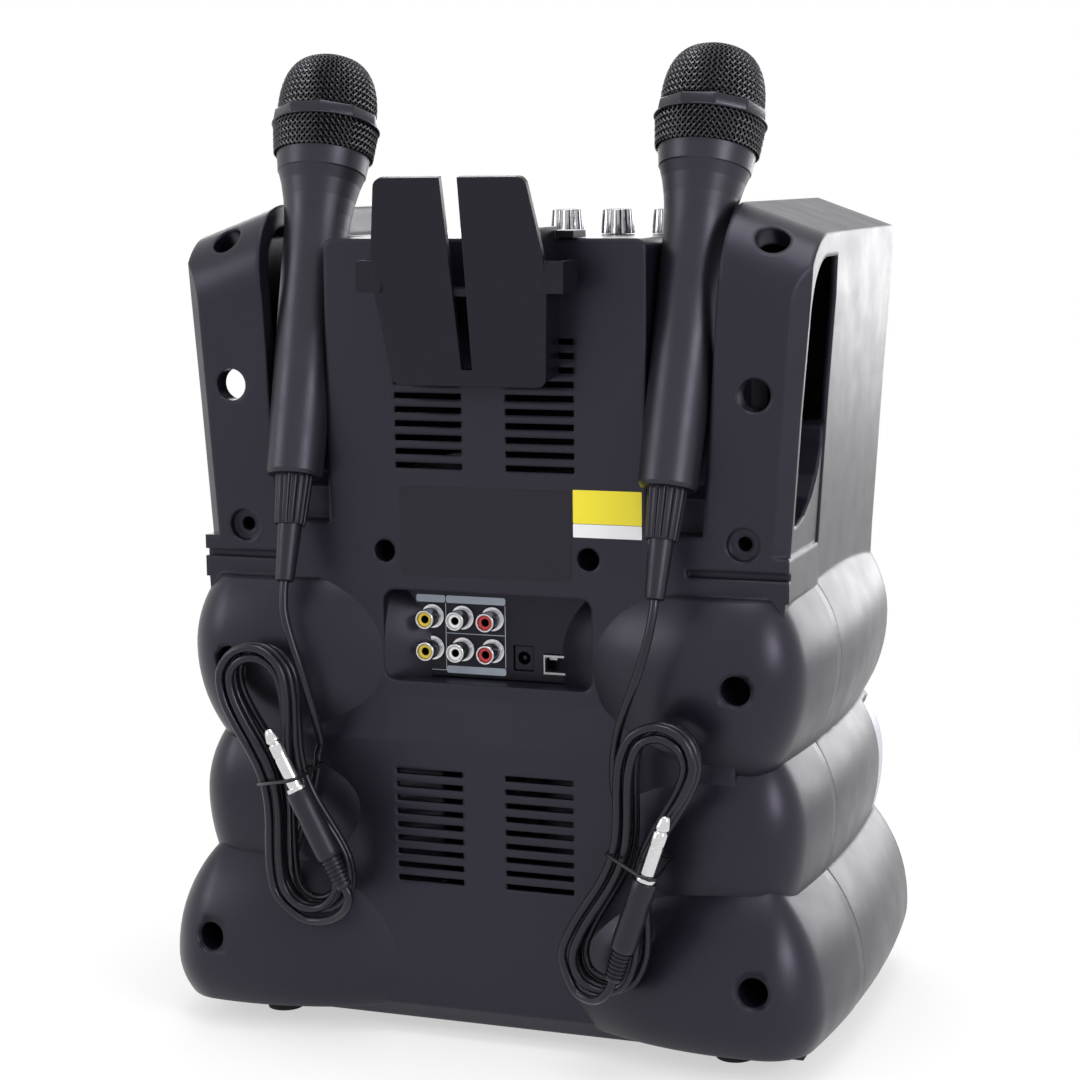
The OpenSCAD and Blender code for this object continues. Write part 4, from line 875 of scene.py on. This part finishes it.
@dataclass
class Knobs(Maker):
    """Three fluted volume knobs."""

    places: tuple[float, ...] = (-62.0, -39.0, -16.0)
    y: float = -64.0
    foot_z: float = 345.0
    height: float = 10.5
    radius: float = 7.3
    flutes: int = 24
    flute_share: float = 0.045

    def build(self) -> None:
        """Shape a fluted cap for each knob."""
        for number, x in enumerate(self.places, 1):
            shape = bmesh.new()
            bmesh.ops.create_cone(
                shape, cap_ends=True, segments=self.flutes * 4, radius1=self.radius + 0.1,
                radius2=self.radius - 0.8, depth=self.height,
                matrix=Matrix.Translation((x, self.y, self.foot_z + self.height / 2)))
            for v in shape.verts:
                angle = math.atan2(v.co.y - self.y, v.co.x - x)
                pull = 1 - self.flute_share * (1 + math.cos(angle * self.flutes)) / 2
                v.co.x, v.co.y = x + (v.co.x - x) * pull, self.y + (v.co.y - self.y) * pull
            top = [f for f in shape.faces if f.normal.z > 0.9]
            bmesh.ops.bevel(
                shape, geom=[e for f in top for e in f.edges], offset=0.5, segments=3, profile=0.5,
                affect="EDGES", material=-1)
            top = max(shape.faces, key=lambda f: f.calc_area() if f.normal.z > 0.9 else 0)
            bmesh.ops.inset_region(shape, faces=[top], thickness=0.9, depth=-0.5)
            self.dresser.piece(
                f"knob_cap_{number}", shape, f"volume_{number}", "knob", hides=(f"knob_{number}",))


@dataclass
class Microphone(Maker):
    """Wire head, foam, ring, lip and strain relief of one microphone."""

    side: Side
    head: Spot = (87.0, -39.5, 389.0)
    lean: float = 18.6
    splay: float = 1.6
    dome_r: float = 21.9
    dome_z: float = 7.9
    dome_h: float = 26.6
    dome_steps: int = 30
    skirt_low: Pair = (21.2, -11.0)
    skirt_high: Pair = (22.6, 1.8)
    skirt_steps: int = 7
    pitch: float = 2.5
    row_share: float = 0.55
    lift: float = 0.3
    wire_r: float = 0.36
    pole_r: float = 2.2
    ring_z: float = 5.05
    ring_sides: int = 10
    ribs: int = 14
    ring_steps: int = 8

    @property
    def frame(self) -> Matrix:
        """Matrix from the microphone's own millimetres to the scene."""
        turn = Euler((math.radians(self.lean), math.radians(self.splay), 0)).to_matrix().to_4x4()
        return datum_matrix() @ self.side.mirror @ Matrix.Translation(self.head) @ turn

    def dome(self, inset: float) -> list[Pair]:
        """Profile of the wire head above its ring.

        Args:
            inset: distance inside the wires.

        Returns:
            Radius and height pairs from the ring to the pole.
        """
        points = []
        for i in range(self.dome_steps + 1):
            a = math.pi / 2 * i / self.dome_steps
            r = (self.dome_r - inset) * math.cos(a) ** 0.66 if i < self.dome_steps else 0.0
            points.append((r, self.dome_z + (self.dome_h - inset) * math.sin(a) ** 0.84))
        return points

    def skirt(self) -> list[Pair]:
        """Profile of the mesh below the ring."""
        low, high, n = Vector(self.skirt_low), Vector(self.skirt_high), self.skirt_steps
        return [tuple(low + (high - low) * i / n) for i in range(n + 1)]

    def evened(self, profile: Profile) -> list[Pair]:
        """Space a profile's points evenly, one to each row of the weave.

        Args:
            profile: radius and height pairs.

        Returns:
            The new points.
        """
        spans = [math.dist(a, b) for a, b in zip(profile, profile[1:])]
        count = round(sum(spans) / (self.pitch * self.row_share))
        made, at, k = [profile[0]], 0.0, 0
        for i in range(1, count):
            goal = sum(spans) * i / count
            while at + spans[k] < goal:
                at, k = at + spans[k], k + 1
            t = (goal - at) / spans[k]
            made.append(tuple(a + (b - a) * t for a, b in zip(profile[k], profile[k + 1])))
        return made + [profile[-1]]

    def woven(self, profile: Profile) -> Shape:
        """Weave wires over a profile: slanting strands in two ways, over and under.

        Args:
            profile: radius and height pairs.

        Returns:
            The woven shape.
        """
        rows = self.evened(profile)
        shape = bmesh.new()
        count = round(math.tau * max(r for r, _ in profile) / self.pitch)
        for way in (1, -1):
            for k in range(count):
                line = []
                for i, (r, z) in enumerate(rows):
                    a = math.tau * (k + way * i / 2) / count
                    out = r + self.lift * way * (-1) ** i
                    if abs(out) > self.pole_r:
                        line.append(Vector((out * math.cos(a), out * math.sin(a), z)))
                self.wire(shape, line)
        return shape

    def wire(self, shape: Shape, line: Sequence[Vector]) -> None:
        """Add a four-sided wire along a line.

        Args:
            shape: the shape that it joins.
            line: the wire's points.
        """
        rings = []
        for i, p in enumerate(line):
            along = (line[min(i + 1, len(line) - 1)] - line[max(i - 1, 0)]).normalized()
            side = along.cross(Vector((p.x, p.y, 0))).normalized()
            out = side.cross(along)
            rings.append([shape.verts.new(p + self.wire_r * d) for d in (out, side, -out, -side)])
        for low, high in zip(rings, rings[1:]):
            for a in range(4):
                shape.faces.new((low[a], low[a - 3], high[a - 3], high[a]))
        shape.faces.new(rings[0][::-1])
        shape.faces.new(rings[-1])

    def build(self) -> None:
        """Weave the head, turn its ring and add the strain relief."""
        skirt = self.skirt()
        core = [(0, -10.5)] + [(r - 0.7, z + 0.4) for r, z in skirt] + self.dome(1.5)
        lip = [(21.5, 1.8), (23.4, 1.8), (23.7, 2.0), (23.7, 2.4), (23.4, 2.6), (21.5, 2.6)]
        cone = [(0, -173.4), (5.3, -173.4), (5.2, -176), (4.2, -195), (3.9, -197.6), (3.2, -198), (0, -198)]
        body = f"mic_{self.side.word}"
        for name, shape, slot, finish, solid in (
            ("wire_1", self.woven(self.dome(0.7)), "mesh", "", "grille"),
            ("wire_2", self.woven(skirt), "mesh", "", ""),
            ("foam", revolved(core, 48), "mesh", "foam", ""),
            ("band", self.band(), "ring", "", "ring"),
            ("lip", revolved(lip), "ring", "", ""),
            ("collet", self.collet(), "relief", "", "relief"),
            ("relief_cone", revolved(cone, 40), "relief", "", ""),
        ):
            self.dresser.piece(
                f"{body}_{name}", shape, body, slot, finish, self.frame, flat="wire" in name,
                hides=(f"{body}_{solid}",) if solid else ())

    def band(self) -> Shape:
        """Build the ten-sided ring.

        Returns:
            The ring with its softened edges.
        """
        half_side = Matrix.Rotation(math.pi / self.ring_sides, 4, "Z")
        ring = bmesh.new()
        bmesh.ops.create_cone(
            ring, cap_ends=True, segments=self.ring_sides, radius1=23.5, radius2=23.1, depth=5.3,
            matrix=Matrix.Translation((0, 0, self.ring_z)) @ half_side)
        bmesh.ops.bevel(
            ring, geom=ring.edges[:], offset=0.7, segments=3, profile=0.5, affect="EDGES", material=-1)
        return ring

    def collet(self) -> Shape:
        """Turn the strain relief at the handle's end and press its ribs in.

        Returns:
            The ribbed shape.
        """
        rows = ((-152.4, 8.0, 0.2), (-153.2, 8.2, 1.0), (-172.2, 6.9, 0.9), (-173.6, 6.5, 0.2))
        grooves = {r: groove for _, r, groove in rows}
        profile = [(0, rows[0][0]), *((r, z) for z, r, _ in rows), (0, rows[-1][0])]
        shape = revolved(profile, self.ribs * self.ring_steps)
        for v in shape.verts:
            r = math.hypot(v.co.x, v.co.y)
            groove = next((g for edge, g in grooves.items() if abs(edge - r) < 0.01), 0.0)
            if groove:
                dent = groove * max(0.0, math.cos(math.atan2(v.co.y, v.co.x) * self.ribs)) ** 3
                v.co.xy = v.co.xy * (1 - dent / r)
        return shape


def between(points: Sequence[Vector], steps: int) -> list[Vector]:
    """Run a smooth curve through points.

    Args:
        points: the points that it passes.
        steps: pieces to a span.

    Returns:
        The curve's points.
    """
    curve = []
    for i in range(len(points) - 1):
        a, b = points[max(i - 1, 0)], points[i]
        c, d = points[i + 1], points[min(i + 2, len(points) - 1)]
        for j in range(steps):
            t = j / steps
            bend, twist = 2 * a - 5 * b + 4 * c - d, 3 * b - a - 3 * c + d
            curve.append(0.5 * (2 * b + (c - a) * t + bend * t * t + twist * t ** 3))
    curve.append(points[-1].copy())
    return curve


def ease(x: float) -> float:
    """Smooth step from 0 to 1."""
    c = max(0.0, min(1.0, x))
    return c * c * (3 - 2 * c)


@dataclass
class CordSet(Maker):
    """A microphone's cord with its hank, tie, plug and boot."""

    side: Side
    centre: Spot
    tilt: float
    route: tuple[Spot, ...]
    lead: tuple[Spot, ...]
    tail: tuple[Spot, ...]
    end: Spot
    turn: float
    start: float
    sink: float
    cord_d: float = 3.8
    loops: int = 5
    layers: int = 4
    step: float = 4.6
    rise: float = 4.4
    inner_r: float = 10.5
    half_l: float = 44.0
    waist: float = 8.6
    rings: int = 24
    climb_from: float = 0.88
    sink_span: float = 0.16
    boot_l: float = 45.4
    tie_r: float = 0.8

    @property
    def bend_l(self) -> float:
        """Length of one end bend."""
        return math.pi * (self.inner_r + 3)

    @property
    def loop_l(self) -> float:
        """Length of one loop."""
        return 4 * self.half_l + 2 * self.bend_l

    def to_world(self, p: Point) -> Vector:
        """Datum point of a point in the hank's own frame."""
        c, s = math.cos(math.radians(self.tilt)), math.sin(math.radians(self.tilt))
        x, y, z = self.centre
        return Vector((x - p[0] * c + p[2] * s, y + p[1], z + p[0] * s + p[2] * c))

    def loop_point(self, share: float, r: float) -> Pair:
        """Point across and up the hank at a share of one loop.

        Args:
            share: share of the loop, from 0 to 1.
            r: half width of the loop.

        Returns:
            The point across and up.
        """
        if share >= 0.5:
            across, up = self.loop_point(share - 0.5, r)
            return -across, -up
        run, bend, q = self.half_l, self.bend_l, share * self.loop_l
        if q < run:
            return -r, -q
        if q < run + bend:
            a = (q - run) / bend * math.pi
            return -r * math.cos(a), -run - r * math.sin(a)
        return r, q - 2 * run - bend

    def hank_point(self, tau: float, sink: float) -> Vector:
        """Point of the winding.

        Args:
            tau: loops from the start.
            sink: how far it lies behind its layer.

        Returns:
            The point in the hank's own frame.
        """
        n = self.loops / self.layers
        k = max(0, min(self.layers - 1, math.floor(tau / n + 0.0001)))
        f = tau / n - k
        out = self.step * n * (1 - f if k % 2 == 0 else f)
        across, up = self.loop_point(tau - math.floor(tau), self.inner_r + out)
        pull = self.waist * math.cos(math.pi / 2 * min(1, abs(up) / self.half_l)) ** 2
        across -= math.copysign(pull, across)
        climb = ease((f - self.climb_from) / (1 - self.climb_from)) if k < self.layers - 1 else 0.0
        return Vector((across, self.rise * (k + climb) - sink, up))

    def centreline(self) -> list[Vector]:
        """Follow the cord from the strain relief to the boot.

        Returns:
            Its centreline in datum millimetres.
        """
        last = self.loops + (self.half_l + 0.33 * self.bend_l) / self.loop_l
        first = self.start / self.loop_l
        count = round((last - first) * self.rings)
        loops = []
        for i in range(count + 1):
            tau = first + (last - first) * i / count
            loops.append(self.hank_point(tau, self.sink * (1 - ease((tau - first) / self.sink_span))))
        turn, end = math.radians(self.turn), Vector(self.end)
        way = Vector((-math.sin(turn), 0, math.cos(turn)))
        local = [*map(Vector, self.lead), *loops, *map(Vector, self.tail), end - self.cord_d * way, end]
        free = between([Vector(p) for p in self.route], 3)
        return free[:-1] + [self.to_world(p) for p in local]

    def plug_frame(self) -> Matrix:
        """Matrix from the plug's own millimetres to the scene."""
        turn = Matrix.Rotation(math.radians(self.tilt + self.turn), 4, "Y")
        return datum_matrix() @ Matrix.Translation(self.to_world(self.end)) @ turn

    def boot(self) -> Shape:
        """Turn the boot with its ribs.

        Returns:
            The boot.
        """
        profile = [(0, 0), (2.6, 0), (3.2, 0.3)]
        rib = ((0, 0), (0.25, 0.3), (0.25, 0.95), (-0.35, 1.15), (-0.35, 1.6))
        for i in range(7):
            profile += [(3.5 + 0.11 * i + r, 1.2 + 1.85 * i + z) for r, z in rib]
        profile += [
            (4.9, 14.4), (5.3, 15.2), (5.4, 17), (5.4, 30), (5.1, 34), (5.3, 36), (5.4, 38), (5.3, 44.4),
            (4.9, 45.2), (0, 45.4)]
        return revolved(profile, 40)

    def plug(self) -> Shape:
        """Turn the metal plug with its rings and tip.

        Returns:
            The plug.
        """
        profile = (
            (0, 0), (4.3, 0), (4.4, 0.3), (4.4, 1.6), (4.2, 1.9), (3.17, 2), (3.17, 15.2), (3.0, 15.3),
            (3.0, 16.3), (3.17, 16.4), (3.17, 21.4), (2.9, 21.8), (2.55, 22.1), (2.55, 22.5), (3.0, 23.0),
            (3.17, 23.5), (3.05, 24.4), (2.3, 27.2), (1.7, 28.4), (0.9, 28.9), (0, 29))
        return revolved([(r, self.boot_l + h) for r, h in profile], 40)

    def build(self) -> None:
        """Lay the cord and add what hangs on it."""
        body = f"mic_{self.side.word}"
        line = between([spot(*p) for p in self.centreline()], 3)
        cord = self.dresser.strand(
            f"{body}_lead", line, self.cord_d / 2 * MM, body, "cord", (f"{body}_cord", f"{body}_hank"))
        plug, boot = (
            self.dresser.piece(
                f"{body}_{name}", shape, body, slot, place=self.plug_frame(), hides=(f"{body}_{solid}",))
            for name, shape, slot, solid in (
                ("jack_plug", self.plug(), "plug", "plug"), ("plug_boot", self.boot(), "relief", "boot")))
        outline = (
            (-9.9, 14.2), (-9.9, -1.4), (-8.8, -2.6), (11.4, -7.5), (12.8, -5.6), (12.9, 0), (13.85, 20.2),
            (13.8, 22.5), (12.2, 24.65), (9.6, 24.85), (8.0, 24.4), (-8.4, 15.6))
        loop = [spot(*self.to_world((v, w, 1.0))) for v, w in outline]
        tie = self.dresser.strand(
            f"{body}_wire_tie", loop, self.tie_r * MM, body, "tie", (f"{body}_tie",), closed=True)


def cord_sets(dresser: Dresser) -> list[CordSet]:
    """The two cords as they hang.

    Args:
        dresser: makes the finishes.

    Returns:
        The left and the right cord.
    """
    left = CordSet(
        dresser, Side.LEFT, (82.5, 18.6, 116.5), 16,
        ((81.8, 23.7, 201.4), (81.6, 25.3, 196.6), (80.6, 27.2, 188), (77.6, 27.6, 177), (74, 27, 165),
         (71.4, 25, 153), (70, 21.6, 142), (70.2, 17.2, 133), (71.4, 15, 129), (72.7, 14.2, 125.5)),
        ((11.9, -4.4, 5.8), (10.5, -4.6, 2), (8, -4.8, -3), (4, -4.8, -10), (-2, -4.8, -19), (-8, -4.8, -27),
         (-12.6, -4.8, -34), (-15.4, -4.7, -39.4)),
        ((-1, 14.4, -61.8), (7, 16.6, -61.8), (14, 19, -59.6), (18.8, 20.8, -56.2)),
        (20, 21.2, -49), 11.1, 44, 4.7)
    right = CordSet(
        dresser, Side.RIGHT, (-73, 18.6, 93.8), -16,
        ((-81.8, 23.7, 201.4), (-81.6, 25.3, 196.6), (-80, 27.4, 186), (-76, 28, 172), (-70.6, 27.4, 158),
         (-66.4, 25.6, 146), (-64, 23, 134), (-63.4, 20.6, 122), (-64.8, 19.2, 113.5), (-66.5, 18.7, 109.2),
         (-67.3, 18.6, 106.6)),
        (), ((-3.4, 15, -60.6), (2, 17.8, -59.2), (6, 20.2, -55.4)), (8.45, 21.2, -46.5), -2.1, -9, 0)
    return [left, right]


@dataclass
class Screws(Maker):
    """Heads of the case screws at the bottom of their holes."""

    places: tuple[Pair, ...] = (*RearCover.holes, (45.8, 212.6))
    head_y: float = -39.6

    def build(self) -> None:
        """Turn each screw head."""
        for side in Side:
            for number, (x, z) in enumerate(self.places, 1):
                head = revolved([(0, 1.0), (1.6, 0.95), (2.8, 0.5), (3.3, 0), (3.5, -0.6)], 32)
                place = facing_rear((x * side.value, self.head_y, z))
                self.dresser.piece(f"screw_head_{side.word}_{number}", head, CONSOLE, "metal", place=place)


def dress_solids(frame: dict, dresser: Dresser) -> None:
    """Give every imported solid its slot's finish.

    Args:
        dresser: makes the finishes.
    """
    slots = {row["node"]: row["material_slot"] for row in frame["record"]["subparts"]}
    for name, solid in frame["nodes"].items():
        material = dresser.finish(slots[name])
        if not solid.data.materials:
            solid.data.materials.append(material)
        for i in range(len(solid.data.materials)):
            solid.data.materials[i] = material


def main() -> None:
    """Build the looks in order."""
    logging.basicConfig(level=logging.INFO, format="%(message)s")
    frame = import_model()
    dresser = Dresser()
    Camera().build()
    for cords in cord_sets(dresser):
        cords.build()
    Studio().build()
    dress_solids(frame, dresser)
    makers = [kind(dresser) for kind in (RearCover, LensFaces, Labels, Sockets, Knobs, Screws)]
    for maker in makers + [Microphone(dresser, side) for side in Side]:
        maker.build()
        LOG.info("%s built", type(maker).__name__)


if __name__ == "__main__":
    main()
